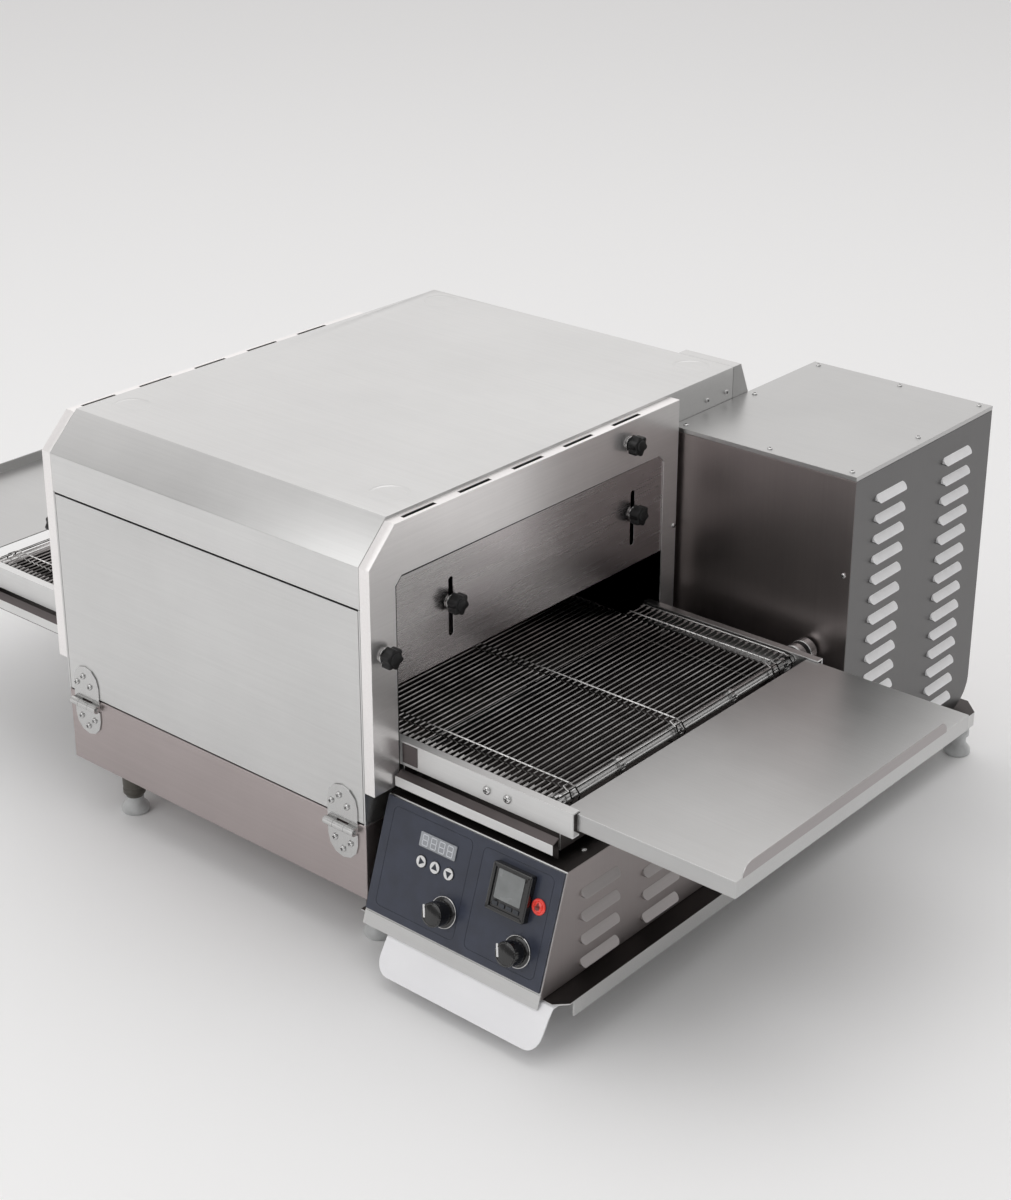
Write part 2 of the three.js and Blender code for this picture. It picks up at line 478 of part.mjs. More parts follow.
// endless wire belt: a band round both shafts, pierced through its upper and lower runs
const beltSection = (radius, steps) => [
  ...arc(SHAFT.z, SHAFT.x, radius, 0, 180, steps).map(([z, x]) => [z, x]),
  ...arc(SHAFT.z, -SHAFT.x, radius, 180, 360, steps).map(([z, x]) => [z, x]),
];
const usable = BELT.y1 - BELT.y0 - 2 * BELT.rim;
const columnWidth = (usable - (BELT.columns - 1) * BELT.bar) / BELT.columns;
const runX = SHAFT.x - BELT.rim;
const rowPitch = (2 * runX) / BELT.rows;
const meshGaps = [];
for (let c = 0; c < BELT.columns; c += 1) {
  const y = BELT.y0 + BELT.rim + c * (columnWidth + BELT.bar);
  for (let r = 0; r < BELT.rows; r += 1) {
    const x = -runX + r * rowPitch + BELT.bar / 2;
    meshGaps.push(block(x, x + rowPitch - BELT.bar, y, y + columnWidth, SHAFT.z - BELT.outer - 1,
      SHAFT.z + BELT.outer + 1));
  }
}
const gapsTogether = wasm.Manifold.compose(meshGaps);
place('wire_belt', cut(
  prism('y', beltSection(BELT.outer, 7), BELT.y0, BELT.y1),
  prism('y', beltSection(BELT.inner, 7), BELT.y0 - 1, BELT.y1 + 1),
  gapsTogether,
), [0x3a3a3c, 0.45, 0.9]);

// trays: a flat sheet whose tongue lies between the rail ends, with turned-down sides and a stop lip
const trayX0 = RAIL.halfX + PLAY;
const tray = joined(
  cut(
    block(trayX0, TRAY.outer, TRAY.y0, TRAY.y1, TRAY.top - TRAY.skirt, TRAY.top),
    block(trayX0 - 1, TRAY.outer - SHEET, TRAY.y0 + SHEET, TRAY.y1 - SHEET, TRAY.top - TRAY.skirt - 1,
      TRAY.top - SHEET),
  ),
  block(TRAY.inner, RAIL.halfX + 2, BELT.y0, BELT.y1, TRAY.top - SHEET, TRAY.top),
  prism('x', [[TRAY.lipY0, TRAY.top - 1], [TRAY.lipY1, TRAY.top - 1],
    ...arc(TRAY.lipY1 - TRAY.lip, TRAY.top, TRAY.lip, 0, 90, 4),
    ...arc(TRAY.lipY0 + TRAY.lip, TRAY.top, TRAY.lip, 90, 180, 4)], TRAY.outer - SHEET, TRAY.outer),
);
place('exit_tray', tray, STAINLESS);
place('entry_tray', mirrorX(tray), STAINLESS);

// each crumb pan hangs by two side lips; its front is folded into a sloping nose
const lipZ = HANGER.bottom + SHEET + GAP;
const [panX0, panX1] = [PAN.fasciaX0 + PAN.inset, PAN.fasciaX1 - PAN.inset];
const crumbPan = joined(
  cut(
    block(panX0, panX1, PAN.y0, PAN.y1, PAN.bottom, lipZ + SHEET),
    block(panX0 + SHEET, panX1 - SHEET, PAN.y0 + SHEET, PAN.y1 - SHEET, PAN.bottom + SHEET, PAN.top + 5),
  ),
  block(panX0 - PAN.lip, panX0 + SHEET, RAIL.y0, PAN.y1, lipZ, lipZ + SHEET),
  block(panX1 - SHEET, panX1 + PAN.lip, RAIL.y0, PAN.y1, lipZ, lipZ + SHEET),
  prism('x', [[PAN.y0 + SHEET, PAN.bottom], [PAN.y0 + SHEET, PAN.top], [PAN.noseY, PAN.noseTop],
    [PAN.noseY, PAN.noseBottom], [PAN.noseY + SHEET, PAN.noseBottom],
    [PAN.noseY + SHEET, PAN.noseTop - 0.7 * SHEET], [PAN.y0, PAN.top - 1.7 * SHEET], [PAN.y0, PAN.bottom]],
  PAN.fasciaX0, PAN.fasciaX1),
);
placePair('crumb_pan', crumbPan, STAINLESS);

// ---------------------------------------------------------------- machine side
// base pan under the control box and the rear box, with a turned-down flange on its outer and
// rear sides and both outer corners cut off
const panCorner = (y, size, out) => prism('z', [[BASE_PAN.x1 - size, y + out], [BASE_PAN.x1 - size, y],
  [BASE_PAN.x1, y - out * size], [BASE_PAN.x1 + 1, y - out * size], [BASE_PAN.x1 + 1, y + out]],
BASE_PAN.flangeBottom - 1, BASE_PAN.top + 1);
place('machine_base_pan', cut(
  joined(
    block(SIDE.x0, BASE_PAN.x1, BASE_PAN.y0, BASE_PAN.y1, BASE_PAN.top - PLATE, BASE_PAN.top),
    cut(
      block(SIDE.x0, BASE_PAN.x1, BASE_PAN.flangeY0, BASE_PAN.y1, BASE_PAN.flangeBottom, BASE_PAN.top - 1),
      block(SIDE.x0 - 1, BASE_PAN.x1 - PLATE, BASE_PAN.flangeY0 - 1, BASE_PAN.y1 - PLATE,
        BASE_PAN.flangeBottom - 1, BASE_PAN.top),
    ),
  ),
  panCorner(BASE_PAN.y1, BASE_PAN.rearCorner, 1),
  panCorner(BASE_PAN.y0, BASE_PAN.frontCorner, -1),
), STAINLESS);

const SLOPE = new THREE.Vector2(CONTROL.topY - CONTROL.frontY, CONTROL.topZ - CONTROL.lipZ);
const slopeAngle = Math.atan2(SLOPE.x, SLOPE.y); // from the vertical
const controlSection = (inset) => [
  [CONTROL.frontY + inset, SIDE.floor + inset],
  [CONTROL.y1 + (inset ? 1 : 0), SIDE.floor + inset],
  [CONTROL.y1 + (inset ? 1 : 0), CONTROL.topZ - inset],
  [CONTROL.topY + inset * 0.7, CONTROL.topZ - inset],
  [CONTROL.frontY + inset, CONTROL.lipZ + inset * 0.2],
];

// the panel's own frame: x across, y down the slope, z out of the panel
const panelFrame = new THREE.Group();
panelFrame.position.set(0, CONTROL.topY, CONTROL.topZ);
panelFrame.rotation.x = -Math.PI / 2 - slopeAngle + Math.PI;
oven.add(panelFrame);
panelFrame.updateMatrix();
const inPanel = (solid) => toSolid(toGeometry(solid).applyMatrix4(panelFrame.matrix));
const { display, button, knob, controller, lamp } = LAYOUT;
const panelX = (x) => CONTROL.panelX0 + x;
const panelTop = GAP + CONTROL.panel;
const controllerX = panelX(controller.x);
const controlX0 = CONTROL.panelX0 - CONTROL.margin;
const squareAt = (x, s, half, z0, z1) => block(x - half, x + half, -s - half, -s + half, z0, z1);

place('control_box', cut(
  prism('x', controlSection(0), controlX0, SIDE.x1),
  prism('x', controlSection(SHEET), controlX0 + SHEET, SIDE.x1 - SHEET),
  inPanel(squareAt(controllerX, controller.s, controller.opening, -6, 2)),
), STAINLESS);

place('control_panel', cut(
  block(CONTROL.panelX0, SIDE.x1 - CONTROL.margin, CONTROL.margin - SLOPE.length(), -CONTROL.margin, GAP,
    panelTop),
  squareAt(controllerX, controller.s, controller.opening, -1, panelTop + 1),
  ...LAYOUT.buttons.map(([, x]) => rod('z', panelX(x), -button.s, button.radius + 0.4, -1, panelTop + 1, 14)),
  ...LAYOUT.knobs.map(([, x, s]) => rod('z', panelX(x), -s, knob.shaft + PLAY, -1, panelTop + 1, 12)),
), [0x1f2733, 0.5, 0.1], panelFrame);

place('display_window', block(panelX(display.x0), panelX(display.x1), -display.s1, -display.s0,
  panelTop + GAP, panelTop + GAP + display.proud), [0x2a2d30, 0.15, 0], panelFrame);
LAYOUT.buttons.forEach(([name, x]) => {
  place(`${name}_button`, rod('z', panelX(x), -button.s, button.radius, panelTop - button.sink,
    panelTop + button.proud, 14), [0x25282d, 0.5, 0], panelFrame);
});
LAYOUT.knobs.forEach(([name, across, s]) => {
  const x = panelX(across);
  const z = panelTop + GAP;
  const grip = ring(0, 0, 1, 24).map(([u, v], i) => {
    const radius = knob.grip + knob.rib * Math.cos((i * 12 * 2 * Math.PI) / 24);
    return [x + u * radius, -s + v * radius];
  });
  place(`${name}_knob`, joined(
    rod('z', x, -s, knob.shaft, GAP + 0.1, z + 1, 12),
    rod('z', x, -s, knob.flange, z, z + knob.flangeDepth, 20),
    prism('z', grip, z + knob.flangeDepth - 0.5, z + knob.depth),
    block(x - knob.grip, x - 2, -s - knob.pointer, -s + knob.pointer, z + knob.depth - 1,
      z + knob.depth + 0.8),
  ), BLACK, panelFrame);
});
place('temperature_controller', joined(
  squareAt(controllerX, controller.s, controller.half, panelTop + GAP, panelTop + GAP + controller.proud),
  squareAt(controllerX, controller.s, controller.bodyHalf, -controller.depth, panelTop + 1),
), BLACK, panelFrame);
place('flame_lamp', joined(
  rod('z', panelX(lamp.x), -lamp.s, lamp.radius, panelTop + GAP, panelTop + GAP + lamp.rim, 20),
  rod('z', panelX(lamp.x), -lamp.s, lamp.lens, panelTop + GAP + lamp.rim - 0.6,
    panelTop + GAP + lamp.proud, 16),
), [0xd9482b, 0.3, 0], panelFrame);

// rear box with the belt drive in it
const boxTop = REAR_BOX.top - REAR_BOX.lid - GAP;
const boxSection = (inset, top) => [
  [REAR_BOX.y0 + inset, SIDE.floor + inset],
  ...arc(REAR_BOX.y1 - REAR_BOX.corner, SIDE.floor + REAR_BOX.corner, REAR_BOX.corner - inset, -90, 0, 5),
  [REAR_BOX.y1 - inset, top], [REAR_BOX.y0 + inset, top],
];
place('rear_box_body', cut(
  prism('x', boxSection(0, boxTop), SIDE.x0, SIDE.x1),
  prism('x', boxSection(SHEET, boxTop + 5), SIDE.x0 + SHEET, SIDE.x1 - SHEET),
  rod('y', SHAFT.z, SHAFT.x, SHAFT.rod + 3, REAR_BOX.y0 - 2, REAR_BOX.y0 + 4, 18),
), STAINLESS);
place('rear_box_lid', cut(
  block(SIDE.x0, SIDE.x1, REAR_BOX.y0, REAR_BOX.y1, REAR_BOX.top - REAR_BOX.lid, REAR_BOX.top),
  block(SIDE.x0 + SHEET, SIDE.x1 - SHEET, REAR_BOX.y0 + SHEET, REAR_BOX.y1 - SHEET,
    REAR_BOX.top - REAR_BOX.lid - 1, REAR_BOX.top - SHEET),
), STAINLESS);
const boxFloor = SIDE.floor + SHEET + GAP;
place('gear_motor', cut(
  joined(
    block(SHAFT.x - GEAR_MOTOR.halfX, SHAFT.x + GEAR_MOTOR.halfX, GEAR_MOTOR.y0,
      GEAR_MOTOR.y0 + GEAR_MOTOR.boxDepth, SHAFT.z - GEAR_MOTOR.halfZ, SHAFT.z + GEAR_MOTOR.halfZ),
    rod('y', SHAFT.z, SHAFT.x, GEAR_MOTOR.canRadius, GEAR_MOTOR.y0 + GEAR_MOTOR.boxDepth - 1,
      GEAR_MOTOR.y0 + GEAR_MOTOR.boxDepth + GEAR_MOTOR.canLength, 20),
    block(SHAFT.x - GEAR_MOTOR.standHalfX, SHAFT.x + GEAR_MOTOR.standHalfX, GEAR_MOTOR.standY0,
      GEAR_MOTOR.standY0 + GEAR_MOTOR.stand, boxFloor, SHAFT.z - GEAR_MOTOR.halfZ + 2),
    block(SHAFT.x - GEAR_MOTOR.standHalfX, SHAFT.x + GEAR_MOTOR.standHalfX, GEAR_MOTOR.standY0,
      GEAR_MOTOR.standY0 + GEAR_MOTOR.standDepth, boxFloor, boxFloor + GEAR_MOTOR.stand),
  ),
  rod('y', SHAFT.z, SHAFT.x, holeR, GEAR_MOTOR.y0 - 1, GEAR_MOTOR.y0 + GEAR_MOTOR.bore, 14),
), [0x4c5358, 0.5, 0.5]);

// white drop sheet under the control panel, hooked under the front edge of the base pan
const flapSheet = (() => {
  const z = BASE_PAN.top - PLATE - GAP;
  const t = FLAP.sheet;
  const hookY = FLAP.topY + FLAP.hook;
  const [kneeY, kneeZ] = [FLAP.topY - 8, z - 8];
  const [shinY, shinZ] = [FLAP.bottomY + 8, FLAP.bottomZ + 14];
  const outer = [[hookY, z], [FLAP.topY - 1, z], [kneeY, kneeZ], [shinY, shinZ], [FLAP.bottomY,
    FLAP.bottomZ]];
  const inner = [[FLAP.bottomY + t, FLAP.bottomZ], [shinY + t, shinZ - 0.5], [kneeY + t, kneeZ - 0.8],
    [FLAP.topY - 0.6, z - t], [hookY, z - t]];
  const sheet = prism('x', [...outer, ...inner], FLAP.x0, FLAP.x1);
  const corner = (x, side) => prism('y', [
    [FLAP.bottomZ - 1, x + side], [FLAP.bottomZ - 1, x - side * FLAP.corner],
    ...arc(FLAP.bottomZ + FLAP.corner, x - side * FLAP.corner, FLAP.corner, 180, side > 0 ? 90 : 270, 5),
    [FLAP.bottomZ + FLAP.corner, x + side],
  ], FLAP.bottomY - 10, kneeY);
  return cut(sheet, corner(FLAP.x0, -1), corner(FLAP.x1, 1));
})();
place('front_flap', flapSheet, [0xe8e9ea, 0.5, 0.1]);

// levelling feet, each turning on its stud
function foot(x, y, height) {
  const { pad, barrel, neck, stud } = FOOT;
  const profile = [[0, 0], [pad - 2, 0], [pad, 2], [pad, 6], [neck, 13], [neck, 20], [barrel, 24],
    [barrel, height - 12], [stud, height - 8], [stud, height - GAP], [0, height - GAP]];
  const turned = new THREE.LatheGeometry(profile.map(([r, z]) => new THREE.Vector2(r, z)), 14);
  return toSolid(turned.rotateX(Math.PI / 2).translate(x, y, 0));
}
[
  ['front_left_foot', -FOOT.x, FOOT.frontY, FOOT.height],
  ['front_right_foot', FOOT.rightX, FOOT.frontY, FOOT.height],
  ['rear_left_foot', -FOOT.x, FOOT.rearY, FOOT.height],
  ['rear_right_foot', FOOT.rightX, FOOT.rearY, FOOT.height],
  ['machine_foot', FOOT.machineX, FOOT.machineY, BASE_PAN.top - PLATE],
].forEach(([name, x, y, height]) => place(name, foot(x, y, height), [0x9a9c9c, 0.35, 0]));

export default oven;
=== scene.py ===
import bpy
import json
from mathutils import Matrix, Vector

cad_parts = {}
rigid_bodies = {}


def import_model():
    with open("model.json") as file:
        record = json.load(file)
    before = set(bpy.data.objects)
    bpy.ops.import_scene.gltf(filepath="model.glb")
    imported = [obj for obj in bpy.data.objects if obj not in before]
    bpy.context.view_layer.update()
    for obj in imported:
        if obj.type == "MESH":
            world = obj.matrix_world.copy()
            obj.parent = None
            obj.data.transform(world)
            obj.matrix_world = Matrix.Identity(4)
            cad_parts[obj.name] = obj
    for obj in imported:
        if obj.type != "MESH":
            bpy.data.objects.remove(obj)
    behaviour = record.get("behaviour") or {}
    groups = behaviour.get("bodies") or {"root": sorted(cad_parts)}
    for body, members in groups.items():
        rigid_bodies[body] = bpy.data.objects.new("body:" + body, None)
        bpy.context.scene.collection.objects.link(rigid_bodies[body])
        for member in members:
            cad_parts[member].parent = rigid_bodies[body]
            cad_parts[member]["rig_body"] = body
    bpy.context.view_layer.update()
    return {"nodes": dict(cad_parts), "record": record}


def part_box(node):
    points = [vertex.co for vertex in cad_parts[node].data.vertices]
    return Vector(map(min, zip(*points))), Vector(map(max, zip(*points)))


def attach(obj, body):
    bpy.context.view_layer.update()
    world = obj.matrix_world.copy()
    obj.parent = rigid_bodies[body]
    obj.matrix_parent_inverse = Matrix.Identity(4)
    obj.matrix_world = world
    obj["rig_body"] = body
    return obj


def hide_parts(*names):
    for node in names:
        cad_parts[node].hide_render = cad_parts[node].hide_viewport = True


bl_info = {
    "name": "Countertop conveyor pizza oven",
    "version": (1, 0, 0),
    "blender": (4, 5, 0),
    "location": "3D View > Sidebar > Pizza Oven",
    "description": "Dresses the packed conveyor oven in sheet steel, wire belt, controls and fasteners",
    "category": "Object",
}

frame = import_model()

import json
import math

import bmesh
import bpy
from mathutils import Matrix, Vector

NODES = frame["nodes"]
MM = 0.001
MID_DEPTH = 375.0  # distance in mm from the closed door to the middle of the oven's depth


def spot(x, y, z):
    """A point in mm from the cabinet's middle, the closed door and the worktop, as metres in the frame."""
    return Vector((x, y - MID_DEPTH, z)) * MM


# ---------------------------------------------------------------- sizes and colours a user may change
class OvenSizes(bpy.types.PropertyGroup):
    fold: bpy.props.FloatProperty(
        name="Fold radius", description="Outer radius of a bend in the sheet", default=0.0016,
        min=0.0002, max=0.005, unit="LENGTH", subtype="DISTANCE")
    edge: bpy.props.FloatProperty(
        name="Edge radius", description="Softening of a cut sheet edge", default=0.0003,
        min=0.0001, max=0.001, unit="LENGTH", subtype="DISTANCE")
    wire: bpy.props.FloatProperty(
        name="Belt wire", description="Diameter of the belt wire", default=0.0019,
        min=0.001, max=0.003, unit="LENGTH", subtype="DISTANCE")
    pitch: bpy.props.FloatProperty(
        name="Belt pitch", description="Distance between neighbouring belt wires", default=0.0075,
        min=0.005, max=0.02, unit="LENGTH", subtype="DISTANCE")
    louver: bpy.props.FloatProperty(
        name="Louver length", description="Length of one cooling louver", default=0.058,
        min=0.02, max=0.1, unit="LENGTH", subtype="DISTANCE")
    screw: bpy.props.FloatProperty(
        name="Screw head", description="Radius of a sheet screw's head", default=0.003,
        min=0.001, max=0.006, unit="LENGTH", subtype="DISTANCE")


class OvenColours(bpy.types.PropertyGroup):
    sheet: bpy.props.FloatVectorProperty(
        name="Sheet steel", description="Satin stainless of the housings", default=(0.66, 0.66, 0.655),
        size=3, min=0, max=1, subtype="COLOR")
    # The hood finishes write this colour brighter than the sheet steel: painted light on the hoods and
    # baffles.
    hood: bpy.props.FloatVectorProperty(
        name="Hood steel", description="Brighter rolled stainless round the tunnel mouths",
        default=(0.62, 0.605, 0.6), size=3, min=0, max=1, subtype="COLOR")
    overlay: bpy.props.FloatVectorProperty(
        name="Panel overlay", description="Slate blue control overlay", default=(0.028, 0.034, 0.056),
        size=3, min=0, max=1, subtype="COLOR")
    plastic: bpy.props.FloatVectorProperty(
        name="Moulded plastic", description="Black knobs and frames", default=(0.008, 0.008, 0.0085),
        size=3, min=0, max=1, subtype="COLOR")
    lamp: bpy.props.FloatVectorProperty(
        name="Flame lamp", description="Red indicator lens", default=(0.74, 0.045, 0.03),
        size=3, min=0, max=1, subtype="COLOR")
    feet: bpy.props.FloatVectorProperty(
        name="Feet", description="Translucent grey foot mouldings", default=(0.52, 0.53, 0.53),
        size=3, min=0, max=1, subtype="COLOR")
    flap: bpy.props.FloatVectorProperty(
        name="Drop sheet", description="White coated sheet under the controls", default=(0.92, 0.92, 0.94),
        size=3, min=0, max=1, subtype="COLOR")


# ---------------------------------------------------------------- finishes
class Finish:
    """A node material that is put together step by step."""

    def __init__(self, name, **sockets):
        self.material = bpy.data.materials.new(name)
        self.material.use_nodes = True
        self.tree = self.material.node_tree
        self.shader = self.tree.nodes["Principled BSDF"]
        self.place = self.tree.nodes.new("ShaderNodeTexCoord").outputs["Object"]
        for key, value in sockets.items():
            socket = self.shader.inputs[key.replace("_", " ")]
            socket.default_value = (*value, 1.0) if hasattr(value, "__len__") else value

    def node(self, kind, **settings):
        made = self.tree.nodes.new(kind)
        for key, value in settings.items():
            setattr(made, key, value)
        return made

    def link(self, source, target):
        self.tree.links.new(source, target)

    def noise(self, scale, stretch=(1, 1, 1), detail=4.0, rough=0.55):
        mapping = self.node("ShaderNodeMapping")
        mapping.inputs["Scale"].default_value = stretch
        self.link(self.place, mapping.inputs["Vector"])
        noise = self.node("ShaderNodeTexNoise")
        noise.inputs["Scale"].default_value = scale
        noise.inputs["Detail"].default_value = detail
        noise.inputs["Roughness"].default_value = rough
        self.link(mapping.outputs["Vector"], noise.inputs["Vector"])
        return noise.outputs["Fac"]

    def ranged(self, value, low, high, start=0.3, stop=0.7):
        spread = self.node("ShaderNodeMapRange")
        for key, number in zip(("From Min", "From Max", "To Min", "To Max"), (start, stop, low, high)):
            spread.inputs[key].default_value = number
        self.link(value, spread.inputs["Value"])
        return spread.outputs["Result"]

    def blend(self, value, low, high, start=0.3, stop=0.7):
        ramp = self.node("ShaderNodeValToRGB")
        for stop_at, colour, element in zip((start, stop), (low, high), ramp.color_ramp.elements):
            element.position = stop_at
            element.color = (*colour, 1.0)
        self.link(value, ramp.inputs["Fac"])
        return ramp.outputs["Color"]

    def sum(self, first, second, share):
        mixed = self.node("ShaderNodeMix", data_type="FLOAT")
        mixed.inputs["Factor"].default_value = share
        self.link(first, mixed.inputs["A"])
        self.link(second, mixed.inputs["B"])
        return mixed.outputs["Result"]

    def bump(self, height, strength, depth=0.0004):
        bump = self.node("ShaderNodeBump")
        bump.inputs["Strength"].default_value = strength
        bump.inputs["Distance"].default_value = depth
        self.link(height, bump.inputs["Height"])
        self.link(bump.outputs["Normal"], self.shader.inputs["Normal"])

    def colour(self, source):
        self.link(source, self.shader.inputs["Base Color"])

    def roughness(self, source):
        self.link(source, self.shader.inputs["Roughness"])


def tinted(colour, factor):
    return tuple(min(1.0, channel * factor) for channel in colour)


GRAIN = {"x": (8, 420, 420), "y": (420, 8, 420), "z": (420, 420, 8)}


def rolled_steel(name, colour, roughness, grain="x", smear=0.06, cloud_tone=None, worn=1.0, metal=1.0):
    """Stainless sheet: fine grain one way, broad cloudy smears, and a few fingerprints of dullness."""
    steel = Finish(name, Metallic=metal)
    fine = steel.noise(1.0, GRAIN[grain], 3.0)
    clouds = steel.noise(5.5, detail=5.0, rough=0.6)
    marks = steel.noise(38.0, detail=6.0, rough=0.7)
    broad = steel.ranged(clouds, roughness - smear, roughness + smear)
    brushed = steel.ranged(fine, roughness - 0.05, roughness + 0.05)
    prints = steel.ranged(marks, roughness - 0.04 * worn, roughness + 0.1 * worn, 0.5, 0.75)
    steel.roughness(steel.sum(broad, steel.sum(brushed, prints, 0.4), 0.45))
    # The darker clouds take the given tone; on the baffles it is pinkish painted reflection, on the base a
    # darker painted reflection.
    dull = cloud_tone or tinted(colour, 0.93)
    steel.colour(steel.blend(steel.sum(clouds, fine, 0.35), dull, tinted(colour, 1.03), 0.32, 0.62))
    steel.bump(steel.sum(fine, clouds, 0.5), 0.05 * worn)
    return steel.material


def moulded(name, colour, roughness, coat=0.0, speckle=900.0, depth=0.08, shine=0.5):
    """Moulded plastic or rubber with a fine spark-eroded texture and handling shine."""
    plastic = Finish(name, Metallic=0.0, Coat_Weight=coat, Coat_Roughness=0.15, Specular_IOR_Level=shine)
    grains = plastic.noise(speckle, detail=2.0)
    wear = plastic.noise(45.0, detail=4.0)
    plastic.colour(plastic.blend(wear, tinted(colour, 0.85), tinted(colour, 1.2)))
    plastic.roughness(plastic.ranged(wear, roughness - 0.06, roughness + 0.07))
    plastic.bump(grains, depth, 0.0001)
    return plastic.material


def coated(name, colour, roughness):
    """Baked enamel with a faint orange peel."""
    paint = Finish(name, Metallic=0.0, Coat_Weight=0.25, Coat_Roughness=0.2)
    peel = paint.noise(420.0, detail=2.0)
    drift = paint.noise(7.0, detail=4.0)
    paint.colour(paint.blend(drift, tinted(colour, 0.96), tinted(colour, 1.03)))
    paint.roughness(paint.ranged(drift, roughness - 0.05, roughness + 0.06))
    paint.bump(peel, 0.06, 0.00008)
    return paint.material


def oven_dark(name, colour, roughness):
    """Chamber steel that heat has browned in clouds."""
    steel = Finish(name, Metallic=0.9)
    clouds = steel.noise(9.0, detail=6.0, rough=0.65)
    soot = steel.noise(60.0, detail=5.0, rough=0.7)
    steel.colour(steel.blend(steel.sum(clouds, soot, 0.3), (0.17, 0.13, 0.1), colour, 0.3, 0.68))
    steel.roughness(steel.ranged(soot, roughness - 0.1, roughness + 0.15))
    steel.bump(soot, 0.08)
    return steel.material


def belt_steel(name, dark, bright):
    """Belt wire: bright on the worn crown, dark with baked grease in patches."""
    wire = Finish(name, Metallic=1.0)
    patches = wire.noise(26.0, detail=5.0, rough=0.7)
    scratch = wire.noise(700.0, detail=2.0)
    wire.colour(wire.blend(wire.sum(patches, scratch, 0.35), dark, bright, 0.36, 0.66))
    wire.roughness(wire.ranged(patches, 0.42, 0.24))
    wire.bump(scratch, 0.05, 0.0001)
    return wire.material


def lens(name, colour, glow):
    """Lamp lens: a clear coloured moulding over a lit diffuser."""
    glass = Finish(name, Roughness=0.18, Coat_Weight=0.6, Coat_Roughness=0.05)
    ribs = glass.noise(260.0, detail=1.0)
    glass.colour(glass.blend(ribs, tinted(colour, 0.85), tinted(colour, 1.1)))
    glass.link(glass.blend(ribs, tinted(colour, 0.9), colour), glass.shader.inputs["Emission Color"])
    glass.shader.inputs["Emission Strength"].default_value = glow
    glass.bump(ribs, 0.05, 0.0001)
    return glass.material


def painted(name, colour):
    """Pressed louver face: half-bright metal whose near-white colour is a painted highlight, with a little
    random tone and grain.
    """
    whitened_face = Finish(name, Metallic=0.12, Roughness=0.5)
    face_tone = whitened_face.noise(60.0, detail=5.0)
    grain = whitened_face.noise(1.0, GRAIN["y"], 3.0)
    whitened_face.colour(whitened_face.blend(face_tone, tinted(colour, 0.94), tinted(colour, 1.03)))
    whitened_face.roughness(whitened_face.ranged(face_tone, 0.44, 0.58))
    whitened_face.bump(grain, 0.04)
    return whitened_face.material


def printed(name, colour, roughness=0.5):
    """Screen print: a thin even ink with slightly broken density."""
    ink = Finish(name, Metallic=0.0)
    density = ink.noise(500.0, detail=3.0)
    ink.colour(ink.blend(density, tinted(colour, 0.94), tinted(colour, 1.02)))
    ink.roughness(ink.ranged(density, roughness - 0.05, roughness + 0.05))
    return ink.material


